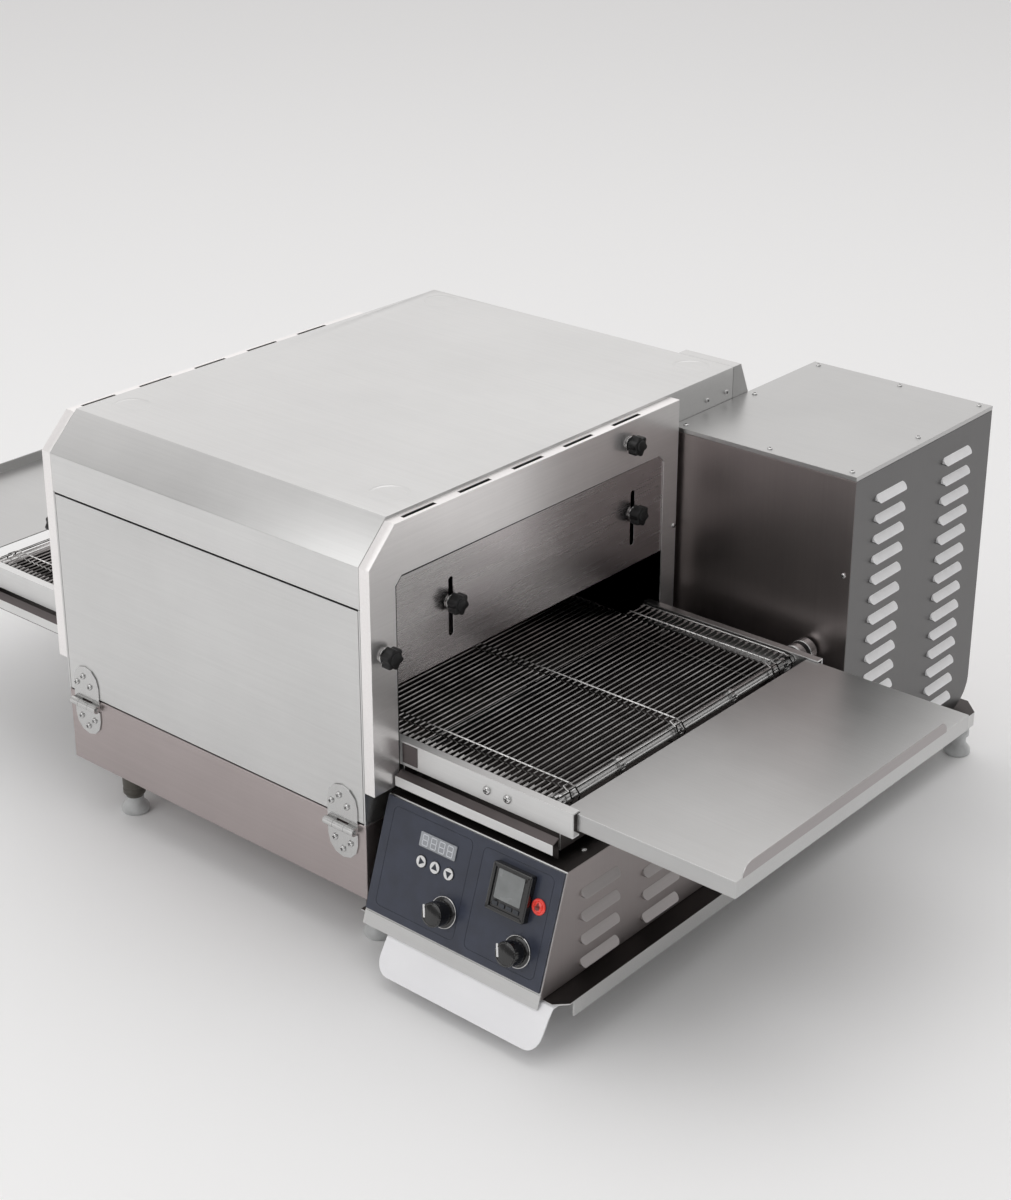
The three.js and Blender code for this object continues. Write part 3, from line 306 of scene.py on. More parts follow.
def make_finishes():
    hues = bpy.context.scene.oven_colours
    sheet, hood = tuple(hues.sheet), tuple(hues.hood)
    FINISH.update({
        "sheet_x": rolled_steel("satin steel, grain across", sheet, 0.33, "x"),
        "sheet_y": rolled_steel("satin steel, grain back to front", sheet, 0.33, "y"),
        "sheet_z": rolled_steel("satin steel, grain upright", sheet, 0.33, "z"),
        # Hood steel written brighter and partly matt: painted light.
        "hood": rolled_steel("hood steel brightened for painted light", tinted(hood, 1.48), 0.3, "y", smear=0.012,
                             cloud_tone=tinted(hood, 1.36), worn=0.2, metal=0.84),
        # Baffle steel written brighter, with pinkish darker clouds: painted light and painted reflection.
        "baffle": rolled_steel("baffle steel with painted pink reflection", tinted(hood, 1.12), 0.27, "y", smear=0.012,
                               cloud_tone=(0.58, 0.53, 0.54), worn=0.2),
        # Darkened copy of the sheet steel for the rear lid's top: painted shade.
        "cap": rolled_steel("machine lid steel darkened for painted shade", tinted(sheet, 0.8), 0.36, "x"),
        "tray": rolled_steel("rolled steel of the trays", tinted(sheet, 0.84), 0.36, "x", 0.03, worn=0.3),
        # Brightened, partly matt copy of the sheet steel for front faces: painted light.
        "front_painted_light": rolled_steel("front face steel brightened for painted light", tinted(sheet, 1.1), 0.4, "x", 0.03,
                               worn=0.3, metal=0.6),
        # Darkened steel for the crumb pans' sloping noses: painted shade.
        "nose": rolled_steel("darkened steel, painted shade on the pan fronts", (0.13, 0.115, 0.115), 0.4, "x"),
        # Darkened steel for the strips on the tray lips: painted shade.
        "lip": rolled_steel("tray lip steel darkened for painted shade", (0.4, 0.375, 0.375), 0.38, "y"),
        # Darkened, browner copy of the sheet steel for the base: painted dark reflection.
        "base": rolled_steel("base steel darkened for painted reflection", (0.46, 0.41, 0.405), 0.36,
                             cloud_tone=(0.42, 0.37, 0.365)),
        # Darkened steel for the rear box's front: painted dark reflection.
        "rear": rolled_steel("rear box front darkened for painted reflection", (0.36, 0.32, 0.315), 0.36, "z"),
        # Darker steel for the rear box's outer side: painted shade.
        "rear_side": rolled_steel("rear box side darkened for painted shade", (0.172, 0.17, 0.17), 0.42, "z"),
        # Darkened steel for the control box's outer side: painted shade.
        "control": rolled_steel("control box side darkened for painted shade", (0.36, 0.325, 0.32), 0.42, "z",
                                metal=0.85),
        # Near-white louver face: painted highlight.
        "louver": painted("louver face whitened for painted highlight", (0.96, 0.96, 0.97)),
        # Darkened steel for the control box's louvers, a little lighter than its side: painted shade with
        # painted highlight.
        "control_louver": rolled_steel("low louver steel darkened for painted shade", (0.52, 0.49, 0.485), 0.42, "y",
                                       metal=0.85),
        "shade": rolled_steel("unlit steel under the conveyor", (0.07, 0.062, 0.06), 0.5, "y"),
        "bright": rolled_steel("bright steel of the hinges", tinted(sheet, 0.92), 0.22, "z", 0.04),
        "turned": rolled_steel("turned steel", tinted(sheet, 0.88), 0.28, "y", 0.05),
        "screw": rolled_steel("screw steel", sheet, 0.25, "x", 0.05),
        "chamber": oven_dark("heat-darkened steel", (0.4, 0.385, 0.37), 0.42),
        "heater": oven_dark("heater sheath", (0.2, 0.17, 0.16), 0.5),
        "wire": belt_steel("belt wire", (0.27, 0.265, 0.26), (0.8, 0.79, 0.78)),
        # Near-black wire for the return run and the turns: painted shade.
        "wire_painted_shade": belt_steel("belt wire darkened for painted shade", (0.015, 0.014, 0.013), (0.05, 0.048, 0.046)),
        "motor": coated("machine enamel", (0.05, 0.058, 0.065), 0.42),
        "overlay": moulded("control overlay", tuple(hues.overlay), 0.36, 0.2, 1400.0, 0.03),
        "window": moulded("display window", (0.33, 0.345, 0.37), 0.22, 0.4, 600.0, 0.02),
        "black": moulded("black moulding", tuple(hues.plastic), 0.42, 0.1, 1100.0, 0.06, 0.3),
        "gloss": moulded("glossy black knob", tinted(tuple(hues.plastic), 0.7), 0.16, 0.5, 1600.0, 0.02),
        "key": moulded("panel key", (0.03, 0.034, 0.042), 0.4, 0.1),
        "screen": moulded("controller screen", (0.21, 0.22, 0.22), 0.25, 0.3, 500.0, 0.02),
        "white": printed("white print", (0.8, 0.8, 0.8)),
        "line": printed("faint printed line", (0.018, 0.023, 0.035)),
        "figure": printed("unlit display figures", (0.62, 0.64, 0.68), 0.35),
        "lamp": lens("flame lamp lens", tuple(hues.lamp), 0.18),
        "flame": lens("flame mark", (0.16, 0.012, 0.008), 0.05),
        "foot": moulded("foot moulding", tuple(hues.feet), 0.35, 0.2, 700.0, 0.05),
        "collar": moulded("dark collar of a foot", (0.07, 0.064, 0.052), 0.4, 0.1, 700.0, 0.05),
        "flap": coated("white coating", tuple(hues.flap), 0.42),
        # Near-black painted shadow for louver openings, screw crosses and the rims of the hood openings.
        "gap": moulded("shadow inside a louver", (0.02, 0.02, 0.02), 0.8),
    })


FINISH = {}
SLOT_FINISH = {
    "stainless": "sheet_x", "stainless_cover": "hood", "chamber_steel": "chamber", "heater_sheath": "heater",
    "motor_paint": "motor", "turned_steel": "turned", "hinge_steel": "bright", "belt_wire": "wire",
    "panel_overlay": "overlay", "display": "window", "button_plastic": "key", "black_plastic": "black",
    "lamp_lens": "lamp", "white_sheet": "flap", "foot_rubber": "foot",
}


# ---------------------------------------------------------------- modelling helpers
shift = Matrix.Translation


def spun(angle):
    return Matrix.Rotation(angle, 4, "Z")


def mesh_of(name, bm):
    mesh = bpy.data.meshes.new(name)
    bm.to_mesh(mesh)
    bm.free()
    return mesh


def linked(name, data):
    """A new object in the scene that holds a mesh, curve, lamp or camera."""
    thing = bpy.data.objects.new(name, data)
    bpy.context.scene.collection.objects.link(thing)
    return thing


def moved(bm, place):
    bmesh.ops.transform(bm, matrix=place, verts=bm.verts)
    return bm


def bevelled(bm, edges, offset, segments=2):
    bmesh.ops.bevel(bm, geom=edges, offset=offset, offset_type="OFFSET", segments=segments, profile=0.5,
                    affect="EDGES", clamp_overlap=True, material=-1)


def settle(name, bm, finishes, body="cabinet", replaces=(), smooth=None):
    """Turns finished mesh code into a piece that rides on its body."""
    mesh = mesh_of(name, bm)
    for finish in [finishes] if isinstance(finishes, str) else finishes:
        mesh.materials.append(FINISH[finish])
    if smooth is not None:
        mesh.shade_smooth()
        mesh.set_sharp_from_angle(angle=math.radians(smooth))
    piece = linked(name, mesh)
    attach(piece, body)
    if replaces:
        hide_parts(*replaces)
    return piece


def node_mesh(node):
    """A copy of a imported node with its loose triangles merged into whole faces."""
    bm = bmesh.new()
    bm.from_mesh(NODES[node].data)
    bmesh.ops.remove_doubles(bm, verts=bm.verts, dist=2e-6)
    bmesh.ops.dissolve_limit(bm, angle_limit=math.radians(0.6), verts=bm.verts, edges=bm.edges)
    return bm


FOLD_WIDTH, FOLD_LENGTH = 0.006, 0.02  # the narrowest sheet and the shortest edge that show a bend


def face_width(face, edge):
    start, end = (vert.co for vert in edge.verts)
    along = (end - start).normalized()
    return max(((vert.co - start) - (vert.co - start).dot(along) * along).length for vert in face.verts)


def soften(bm, fold, edge):
    """Rounds the folds of a sheet by its bend radius, and its cut edges by a hair."""
    def sharp(low):
        return [e for e in bm.edges if len(e.link_faces) == 2 and e.calc_face_angle(0) > math.radians(low)]
    if fold:
        folds = [e for e in sharp(24) if min(face_width(f, e) for f in e.link_faces) > FOLD_WIDTH
                 and e.calc_length() > FOLD_LENGTH]
        bevelled(bm, folds, fold, 3)
    if edge:
        bevelled(bm, sharp(50), edge, 1)


def stand_in(node, name, bm, finishes, smooth=None):
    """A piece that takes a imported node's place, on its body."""
    return settle(name, bm, finishes, NODES[node]["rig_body"], [node], smooth)


def dress(node, finish, fold=None, edge=None, smooth=None, bm=None, shade=None):
    """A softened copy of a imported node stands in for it; shade gives the number of each face's finish."""
    sizes = bpy.context.scene.oven_sizes
    bm = bm or node_mesh(node)
    soften(bm, sizes.fold if fold is None else fold, sizes.edge if edge is None else edge)
    if shade:
        for face in bm.faces:
            face.material_index = int(shade(face))
    return stand_in(node, node + "_sheet", bm, finish, smooth)


def turned(profile, steps):
    """A closed solid of revolution about Z from (radius, height) pairs that start and end on the axis."""
    bm = bmesh.new()
    verts = [bm.verts.new((radius, 0, height)) for radius, height in profile]
    edges = [bm.edges.new(pair) for pair in zip(verts, verts[1:])]
    bmesh.ops.spin(bm, geom=verts + edges, cent=(0, 0, 0), axis=(0, 0, 1), dvec=(0, 0, 0),
                   angle=math.tau, steps=steps, use_merge=True, use_duplicate=False)
    bmesh.ops.remove_doubles(bm, verts=bm.verts, dist=1e-7)
    bmesh.ops.recalc_face_normals(bm, faces=bm.faces)
    return bm


def bar(size, soft=0.0, segments=2):
    """A block with softened edges, centred on the origin."""
    bm = bmesh.new()
    bmesh.ops.create_cube(bm, size=1.0)
    bmesh.ops.scale(bm, vec=size, verts=bm.verts)
    if soft:
        bevelled(bm, bm.edges[:], soft, segments)
    return bm


def plate(outline, thick, soft):
    """A flat plate of a given outline, standing on z = 0."""
    bm = bmesh.new()
    face = bm.faces.new([bm.verts.new((x, y, 0)) for x, y in outline])
    bm.normal_update()
    if face.normal.z > 0:
        bmesh.ops.reverse_faces(bm, faces=[face])
    made = bmesh.ops.extrude_face_region(bm, geom=[face])
    lifted = [item for item in made["geom"] if isinstance(item, bmesh.types.BMVert)]
    bmesh.ops.translate(bm, vec=(0, 0, thick), verts=lifted)
    bmesh.ops.recalc_face_normals(bm, faces=bm.faces)
    bevelled(bm, [e for e in bm.edges if all(v.co.z > thick * 0.99 for v in e.verts)], soft)
    return bm


def arc(centre_x, centre_y, radius, start, stop, steps):
    """Points of an arc between two angles in degrees."""
    turns = [math.radians(start + (stop - start) * i / steps) for i in range(steps + 1)]
    return [(centre_x + radius * math.cos(turn), centre_y + radius * math.sin(turn)) for turn in turns]


def rounded_box(half_x, half_y, radius, steps=4):
    points = []
    for start, sign_x, sign_y in ((0, 1, 1), (90, -1, 1), (180, -1, -1), (270, 1, -1)):
        centre = sign_x * (half_x - radius), sign_y * (half_y - radius)
        points += arc(*centre, radius, start, start + 90, steps)
    return points


def lobed(radius, count, lobes, depth):
    """A round outline whose rim waves in and out."""
    points = []
    for i in range(count):
        turn = math.tau * i / count
        reach = radius + depth * math.cos(lobes * turn)
        points.append((reach * math.cos(turn), reach * math.sin(turn)))
    return points


def disc(radius, low, high, steps, chamfer=0.0):
    """A round disc from one height to another, its rims chamfered where that is asked for."""
    inner = radius - chamfer
    if chamfer:
        rim = [(inner, low), (radius, low + chamfer), (radius, high - chamfer), (inner, high)]
    else:
        rim = [(radius, low), (radius, high)]
    return turned([(0, low), *rim, (0, high)], steps)


def walled(bm, first, second):
    """Closes two like rings of vertices with a face each and a wall between them."""
    faces = [bm.faces.new(first), bm.faces.new(second)]
    for i, start in enumerate(first):
        bm.faces.new((first[i - 1], start, second[i], second[i - 1]))
    bmesh.ops.recalc_face_normals(bm, faces=bm.faces)
    return faces


def gather(target, piece, place=None, material=0):
    """Moves a finished bit of mesh code into a larger one."""
    if place is not None:
        moved(piece, place)
    if material:
        for face in piece.faces:
            face.material_index = material
    mesh = mesh_of("part", piece)
    target.from_mesh(mesh)
    bpy.data.meshes.remove(mesh)
    return target


def tubes(paths, radius, closed=False):
    """Four-sided wire along each path of points."""
    curve = bpy.data.curves.new("wire", "CURVE")
    curve.dimensions = "3D"
    curve.bevel_depth = radius
    curve.bevel_resolution = 0
    curve.use_fill_caps = True
    for path in paths:
        spline = curve.splines.new("POLY")
        spline.points.add(len(path) - 1)
        for point, where in zip(spline.points, path):
            point.co = (*where, 1.0)
        spline.use_cyclic_u = closed
    holder = linked("wire", curve)
    mesh = bpy.data.meshes.new_from_object(holder)
    bm = bmesh.new()
    bm.from_mesh(mesh)
    bpy.data.objects.remove(holder)
    bpy.data.curves.remove(curve)
    bpy.data.meshes.remove(mesh)
    return bm


def facing(direction):
    """The turn that takes Z to a direction."""
    return Vector((0, 0, 1)).rotation_difference(Vector(direction)).to_matrix().to_4x4()


def at(point, direction, spin=0.0):
    return shift(point) @ facing(direction) @ spun(spin)


def screw_head(radius):
    """A pan-head screw whose cross is two near-black bars on its top: painted shade of a sunk cross."""
    bm = turned([(0, 0), (radius, 0), (radius, radius * 0.22), (radius * 0.93, radius * 0.4),
                 (radius * 0.72, radius * 0.56), (radius * 0.36, radius * 0.64), (0, radius * 0.66)], 16)
    for turn in (0, 1):
        gather(bm, bar((radius * 1.05, radius * 0.22, radius * 0.1)),
               shift((0, 0, radius * 0.63)) @ spun(turn * math.pi / 2), 1)
    return bm


HAIR = 0.0001  # how far a screw head is sunk into its sheet or stands off it
UP, FRONT, BACK = (0, 0, 1), (0, -1, 0), (0, 1, 0)


def screws(name, places, body="cabinet", radius=None):
    """One piece of like screws: each place is (point, direction)."""
    radius = radius or bpy.context.scene.oven_sizes.screw
    whole = bmesh.new()
    for i, (point, direction) in enumerate(places):
        gather(whole, screw_head(radius), at(point, direction, i * 1.3))
    return settle(name, whole, ["screw", "gap"], body, smooth=35)


class OvenStep:
    """What every step's button shares."""
    bl_options = {"REGISTER", "UNDO"}


# ---------------------------------------------------------------- stage
FLOOR_GREY = (0.93, 0.93, 0.93, 1)
CAMERA_PLACE, CAMERA_TILT, CAMERA_TURN = (1.561, -1.714, 1.284), 67.35, 40.55  # metres and degrees
CAMERA_LENS, CAMERA_SENSOR, CAMERA_SHIFT = 65.19, 36.0, -0.08
BRIGHT_SKY = (-0.55, 0.62, 0.56)  # the sky is brightest behind and to the left, where the tops mirror it
STUDIO_LIGHTS = (  # name, place and size in metres, power in watts
    ("key light", (-1.0, -4.9, 3.3), 4.5, 80), ("fill light", (3.6, -2.2, 3.4), 3.5, 15),
    ("top light", (0.2, 0.6, 4.4), 4.5, 40))


class OVEN_OT_stage(OvenStep, bpy.types.Operator):
    """Lay the pale floor, hang the soft lights and set the camera"""
    bl_idname = "oven.stage"
    bl_label = "Stage"

    def execute(self, context):
        scene = context.scene
        scene.view_settings.view_transform = "Standard"
        floor = bpy.data.materials.new("pale floor")
        floor.use_nodes = True
        matt = floor.node_tree.nodes["Principled BSDF"].inputs
        matt["Base Color"].default_value = FLOOR_GREY
        matt["Roughness"].default_value = 0.9
        bm = bmesh.new()
        bmesh.ops.create_grid(bm, x_segments=2, y_segments=2, size=14)
        mesh = mesh_of("floor", bm)
        mesh.materials.append(floor)
        linked("floor", mesh)

        world = bpy.data.worlds.new("studio")
        world.use_nodes = True
        nodes, links = world.node_tree.nodes, world.node_tree.links
        place = nodes.new("ShaderNodeTexCoord")
        along = nodes.new("ShaderNodeVectorMath")
        along.operation = "DOT_PRODUCT"
        along.inputs[1].default_value = BRIGHT_SKY
        ramp = nodes.new("ShaderNodeValToRGB")
        for place_at, grey, element in zip((0.0, 0.85), (0.3, 1.0), ramp.color_ramp.elements):
            element.position = place_at
            element.color = (grey, grey * 0.985, grey * 0.98, 1)
        links.new(place.outputs["Generated"], along.inputs[0])
        links.new(along.outputs["Value"], ramp.inputs["Fac"])
        links.new(ramp.outputs["Color"], nodes["Background"].inputs["Color"])
        nodes["Background"].inputs["Strength"].default_value = 1.0
        scene.world = world

        for name, where, size, power in STUDIO_LIGHTS:
            lamp = bpy.data.lights.new(name, "AREA")
            lamp.size, lamp.energy = size, power
            holder = linked(name, lamp)
            holder.location = where
            holder.rotation_euler = (Vector((0, 0, 0.2)) - Vector(where)).to_track_quat("-Z", "Y").to_euler()

        camera = bpy.data.cameras.new("camera")
        camera.lens, camera.sensor_width, camera.shift_y = CAMERA_LENS, CAMERA_SENSOR, CAMERA_SHIFT
        scene.camera = linked("camera", camera)
        scene.camera.location = CAMERA_PLACE
        scene.camera.rotation_euler = (math.radians(CAMERA_TILT), 0, math.radians(CAMERA_TURN))
        return {"FINISHED"}


class OVEN_OT_finishes(OvenStep, bpy.types.Operator):
    """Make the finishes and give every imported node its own"""
    bl_idname = "oven.finishes"
    bl_label = "Finishes"

    def execute(self, context):
        make_finishes()
        for part in frame["record"]["subparts"]:
            mesh = NODES[part["node"]].data
            mesh.materials.clear()
            mesh.materials.append(FINISH[SLOT_FINISH[part["material_slot"]]])
        return {"FINISHED"}


# ---------------------------------------------------------------- cabinet
DIMPLE_AREA = (0.0014, 0.0016)  # the floor of a stacking dimple, in square metres
DIMPLE_LIFT = 0.00052
DIMPLE_STEPS = ((0.001, 0.0001), (0.0017, 0.0006), (0.001, 0.0001))  # width and drop of each ring, in metres


class OVEN_OT_cabinet(OvenStep, bpy.types.Operator):
    """Fold the cabinet's sheets: lid, base, ends, back and cowl"""
    bl_idname = "oven.cabinet"
    bl_label = "Cabinet sheets"

    def execute(self, context):
        lid = node_mesh("lid")
        least, most = DIMPLE_AREA
        floors = [f for f in lid.faces if f.normal.z > 0.99 and least < f.calc_area() < most]
        for vert in {v for f in floors for v in f.verts}:
            vert.co.z += DIMPLE_LIFT
        for width, drop in DIMPLE_STEPS:
            bmesh.ops.inset_individual(lid, faces=floors, thickness=width, depth=-drop)
        # The lid's front band takes brightened steel: painted light.
        dress("lid", ["sheet_x", "front_painted_light"], shade=lambda f: f.normal.y < -0.95, smooth=30, bm=lid)
        # The base takes darkened steel: painted dark reflection.
        dress("base_housing", "base")
        dress("rear_panel", "sheet_x", fold=0)
        dress("rear_cowl", "sheet_z")
        for side in ("left", "right"):
            dress(side + "_end_wall", "sheet_y", fold=0)
        return {"FINISHED"}


class OVEN_OT_door(OvenStep, bpy.types.Operator):
    """Fold the drop-down door's skin and liner"""
    bl_idname = "oven.door"
    bl_label = "Door"

    def execute(self, context):
        dress("door_skin", "sheet_x")
        dress("door_liner", "chamber", fold=0.002)
        return {"FINISHED"}


SHADOW_STRIP_INSIDE = [(38.4, 187), (38.4, 404), (46, 411.6), (440, 412.8)]  # y and z in mm, up and then back
SHADOW_STRIP_OUTSIDE = [(33, 187), (33, 405), (45, 417), (466, 417)]
SHADOW_STRIP_FACES = (243.55, 243.76)  # its two sides, in mm from the cabinet's middle


def painted_shadow_strip(sign):
    """A near-black strip behind the front and upper rim of a hood's opening: painted shadow of the rim on the
    baffle.
    """
    bm = bmesh.new()
    walled(bm, *[[bm.verts.new(spot(sign * x, y, z)) for y, z in SHADOW_STRIP_OUTSIDE + SHADOW_STRIP_INSIDE[::-1]]
                 for x in SHADOW_STRIP_FACES])
    return bm


class OVEN_OT_hoods(OvenStep, bpy.types.Operator):
    """Fold the hoods and the sliding baffles at both tunnel mouths"""
    bl_idname = "oven.hoods"
    bl_label = "End hoods and baffles"

    def execute(self, context):
        for side, sign in (("left", -1), ("right", 1)):
            # Hoods take brightened steel (painted light); baffles too, with pinkish clouds (painted
            # reflection).
            dress(side + "_end_cover", "hood", fold=0.0012)
            dress(side + "_baffle", "baffle", fold=0.0009)
            # A near-black strip at each opening's rim: painted shadow.
            settle(side + "_hood_painted_shadow", painted_shadow_strip(sign), "gap")
        return {"FINISHED"}


STUD_RADIUS, STUD_CREST, STUD_PITCH = 0.0024, 0.0003, 0.00055
WASHER_DEPTH = {"baffle": 0.0165, "cover": 0.0177}  # from a knob's outer end to its washer's inner face
HEAD_DEPTH = 0.012  # from its outer end to the foot of its lobed head


def clamp_knob(reach, washer):
    """A lobed knob with its washer on a threaded stud, standing on z = 0."""
    turns = range(int(washer / STUD_PITCH))
    thread = [(STUD_RADIUS + STUD_CREST * (i % 2), 0.001 + STUD_PITCH * i) for i in turns]
    end = washer + 0.003
    bm = turned([(0, 0.0003), (STUD_RADIUS, 0.0003), *thread, (STUD_RADIUS, end), (0, end)], 14)
    gather(bm, disc(0.008, washer, washer + 0.0016, 28, 0.0004))
    head = reach - HEAD_DEPTH
    gather(bm, plate(lobed(0.0106, 60, 6, 0.0013), 0.01, 0.0016), shift((0, 0, head)), 1)
    gather(bm, turned([(0, washer + 0.0014), (0.0052, washer + 0.0014), (0.0058, washer + 0.0022),
                       (0.0062, head + 0.0005), (0, head + 0.0005)], 24), material=1)
    gather(bm, turned([(0, head + 0.0095), (0.0071, head + 0.0095), (0.0067, head + 0.0112),
                       (0.005, head + 0.0119), (0, head + 0.012)], 28), material=1)
    return bm


class OVEN_OT_clamp_knobs(OvenStep, bpy.types.Operator):
    """Turn the lobed clamp knobs with their washers and threaded studs"""
    bl_idname = "oven.clamp_knobs"
    bl_label = "Clamp knobs"

    def execute(self, context):
        for side, sign in (("left", -1), ("right", 1)):
            for row in ("front", "rear"):
                for kind, depth in WASHER_DEPTH.items():
                    node = f"{side}_{row}_{kind}_knob"
                    low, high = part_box(node)
                    outer = high.x if sign > 0 else -low.x
                    inner = low.x if sign > 0 else -high.x
                    centre = (low + high) / 2
                    place = at(Vector((sign * inner, centre.y, centre.z)), (sign, 0, 0), 0.2)
                    knob = moved(clamp_knob(outer - inner, outer - inner - depth), place)
                    stand_in(node, node + "_moulding", knob, ["turned", "black"], 35)
        return {"FINISHED"}


HINGE_Z, KNUCKLE_REACH = 0.14, 0.012  # height of the pins, and how far the knuckles reach from it


class OVEN_OT_hinges(OvenStep, bpy.types.Operator):
    """Press the two door hinges and drive their screws"""
    bl_idname = "oven.hinges"
    bl_label = "Hinges"

    def execute(self, context):
        for side, x in (("left", -200), ("right", 200)):
            for leaf, body, rows in (("upper", "door", ((-15, 163), (-4, 173), (7, 163))),
                                     ("lower", "cabinet", ((-11, 122), (0, 112), (11, 122)))):
                node = f"{side}_hinge_{leaf}_leaf"
                dress(node, "bright", fold=0, edge=0.0004)
                front = min(v.co.y for v in NODES[node].data.vertices
                            if abs(v.co.z - HINGE_Z) > KNUCKLE_REACH) - HAIR
                screws(f"{side}_{leaf}_hinge_screws",
                       [(Vector(((x + dx) * MM, front, z * MM)), FRONT) for dx, z in rows],
                       body, 0.0036)
        return {"FINISHED"}


# ---------------------------------------------------------------- conveyor
class OVEN_OT_belt(OvenStep, bpy.types.Operator):
    """Link the wire belt round its two shafts"""
    bl_idname = "oven.belt"
    bl_label = "Wire belt"

    def execute(self, context):
        sizes = context.scene.oven_sizes
        low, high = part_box("wire_belt")
        centre_z = (low.z + high.z) / 2
        radius = (high.z - low.z) / 2 - 0.0008
        run = high.x - (high.z - low.z) / 2
        length = 4 * run + math.tau * radius
        count = round(length / sizes.pitch)

        def along(s, y, h):
            """The point at s along the loop, h out from it; the lower half is the upper half turned over."""
            s %= length
            side = 1 if s < length / 2 else -1
            s %= length / 2
            if s < 2 * run:
                return side * (s - run), y, centre_z + side * (radius + h)
            turn, reach = (s - 2 * run) / radius, radius + h
            return side * (run + reach * math.sin(turn)), y, centre_z + side * reach * math.cos(turn)

        pitch = length / count
        y0, y1 = low.y + 0.0012, high.y - 0.0012
        stations = [y0 + 0.03, (y0 + y1) / 2, y1 - 0.03]
        back, rise = -1.12 * pitch, sizes.wire * 0.5
        link = [(back, y0 + 0.009, rise), (back, y0 + 0.0012, rise * 0.4), (0, y0, 0)]
        for y in stations:
            link += [(0, y - 0.006, 0), (back, y - 0.0045, rise), (back, y + 0.0045, rise), (0, y + 0.006, 0)]
        link += [(0, y1, 0), (back, y1 - 0.0012, rise * 0.4), (back, y1 - 0.009, rise)]
        bm = tubes([[along(i * pitch + s, y, h) for s, y, h in link] for i in range(count)], sizes.wire / 2)
        # The return run and the turns round the shafts take near-black wire: painted shade.
        for face in bm.faces:
            middle = face.calc_center_median()
            face.material_index = int(middle.z < centre_z or abs(middle.x) > run + 0.3 * radius)
        stand_in("wire_belt", "belt_wires", bm, ["wire", "wire_painted_shade"], 60)
        return {"FINISHED"}


SHAFT_Z, SPROCKETS, SPROCKET_INSET = 0.2215, 5, 0.012
HUB = [(0, 0), (0.0075, 0), (0.0078, 0.0004), (0.0078, 0.0036), (0.0075, 0.004), (0, 0.004)]
COUPLING_Y = 469  # where the coupling starts, in mm from the closed door
COUPLING = ((0.014, 0, 0.0102, 0.0012), (0.0133, 0.0095, 0.0165, 0), (0.014, 0.016, 0.028, 0.0012))


class OVEN_OT_shafts(OvenStep, bpy.types.Operator):
    """Turn the two belt shafts with their toothed sprockets and the drive coupling"""
    bl_idname = "oven.shafts"
    bl_label = "Belt shafts"

    def execute(self, context):
        belt_low, belt_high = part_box("wire_belt")
        for node in ("drive_shaft", "idler_shaft"):
            low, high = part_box(node)
            x = (low.x + high.x) / 2

            def from_y(y):
                return at(Vector((x, y, SHAFT_Z)), BACK)

            bm = moved(disc(0.006, 0, high.y - low.y, 24, 0.0008), from_y(low.y))
            first, last = belt_low.y + SPROCKET_INSET, belt_high.y - SPROCKET_INSET
            for i in range(SPROCKETS):
                y = first + (last - first) * i / (SPROCKETS - 1)
                gather(bm, plate(lobed(0.0088, 54, 9, 0.0006), 0.006, 0.0006), from_y(y - 0.003))
                gather(bm, turned(HUB, 24), from_y(y + 0.0025))
            if node == "drive_shaft":
                for i, (radius, start, end, chamfer) in enumerate(COUPLING):
                    gather(bm, disc(radius, start, end, 36, chamfer), from_y(spot(0, COUPLING_Y, 0).y), i % 2)
            stand_in(node, node + "_turned", bm, ["turned", "black"], 35)
        return {"FINISHED"}


RAIL_SHADE_Z = 0.2095  # below this height the front rail lies in shade
PAN_SHADE_Y = 34  # behind this line, in mm from the closed door, the crumb pans do
LIP_X = {"left": -0.6454, "right": 0.6449}


def pan_finish(face):
    """Number of a crumb pan's finish: the front edge in brightened steel (painted light), then the parts in
    painted shade, then the sloping nose in darkened steel (painted shade).
    """
    if face.calc_center_median().y > spot(0, PAN_SHADE_Y, 0).y:
        return 1
    if face.normal.y < -0.5:
        return 0
    return 2 if face.normal.z > 0.5 else 1


def rail_screws(rail, y, direction, places):
    """Screws in a rail's outer face: its y and the places along it are in mm."""
    y = spot(0, y, 0).y + direction[1] * HAIR
    screws(rail + "_rail_screws", [(Vector((x * MM, y, 0.221)), direction) for x in places], radius=0.0046)


class OVEN_OT_conveyor_frame(OvenStep, bpy.types.Operator):
    """Fold the belt's rails, the trays and the crumb pans"""
    bl_idname = "oven.conveyor_frame"
    bl_label = "Rails, trays and crumb pans"

    def execute(self, context):
        # The rail's face takes brightened steel (painted light), its lower faces painted shade.
        dress("front_rail", ["front_painted_light", "shade"], fold=0,
              shade=lambda f: max(v.co.z for v in f.verts) < RAIL_SHADE_Z)
        dress("rear_rail", "sheet_x", fold=0)
        for node in ("exit_tray", "entry_tray"):
            dress(node, "tray", fold=0.0012)
        # Each tray's lip gets a thin darker strip on its outer face: painted shade.
        outline = [(57, 232), *arc(69, 233, 12, 180, 90, 6), *arc(401, 233, 12, 90, 0, 6), (413, 232)]
        upright = Matrix(((0, 0, 1, 0), (1, 0, 0, 0), (0, 1, 0, 0), (0, 0, 0, 1)))
        for side, x in LIP_X.items():
            dress(side + "_crumb_pan", ["front_painted_light", "shade", "nose"], fold=0, shade=pan_finish)
            lip = plate([(y * MM, z * MM) for y, z in outline], 0.0005, 0.0001)
            settle(side + "_tray_lip", moved(lip, shift((x, spot(0, 0, 0).y, 0)) @ upright), "lip")
        rail_screws("front", 40, FRONT, (358, 384, -411, -437))
        joint = bar((0.02, 0.0008, 0.0215), 0.0003)
        settle("front_rail_joint", moved(joint, shift(spot(256.5, 39.7, 222.3))), "nose")
        rail_screws("rear", 466, BACK, (-358, -384, 358, 384))
        return {"FINISHED"}


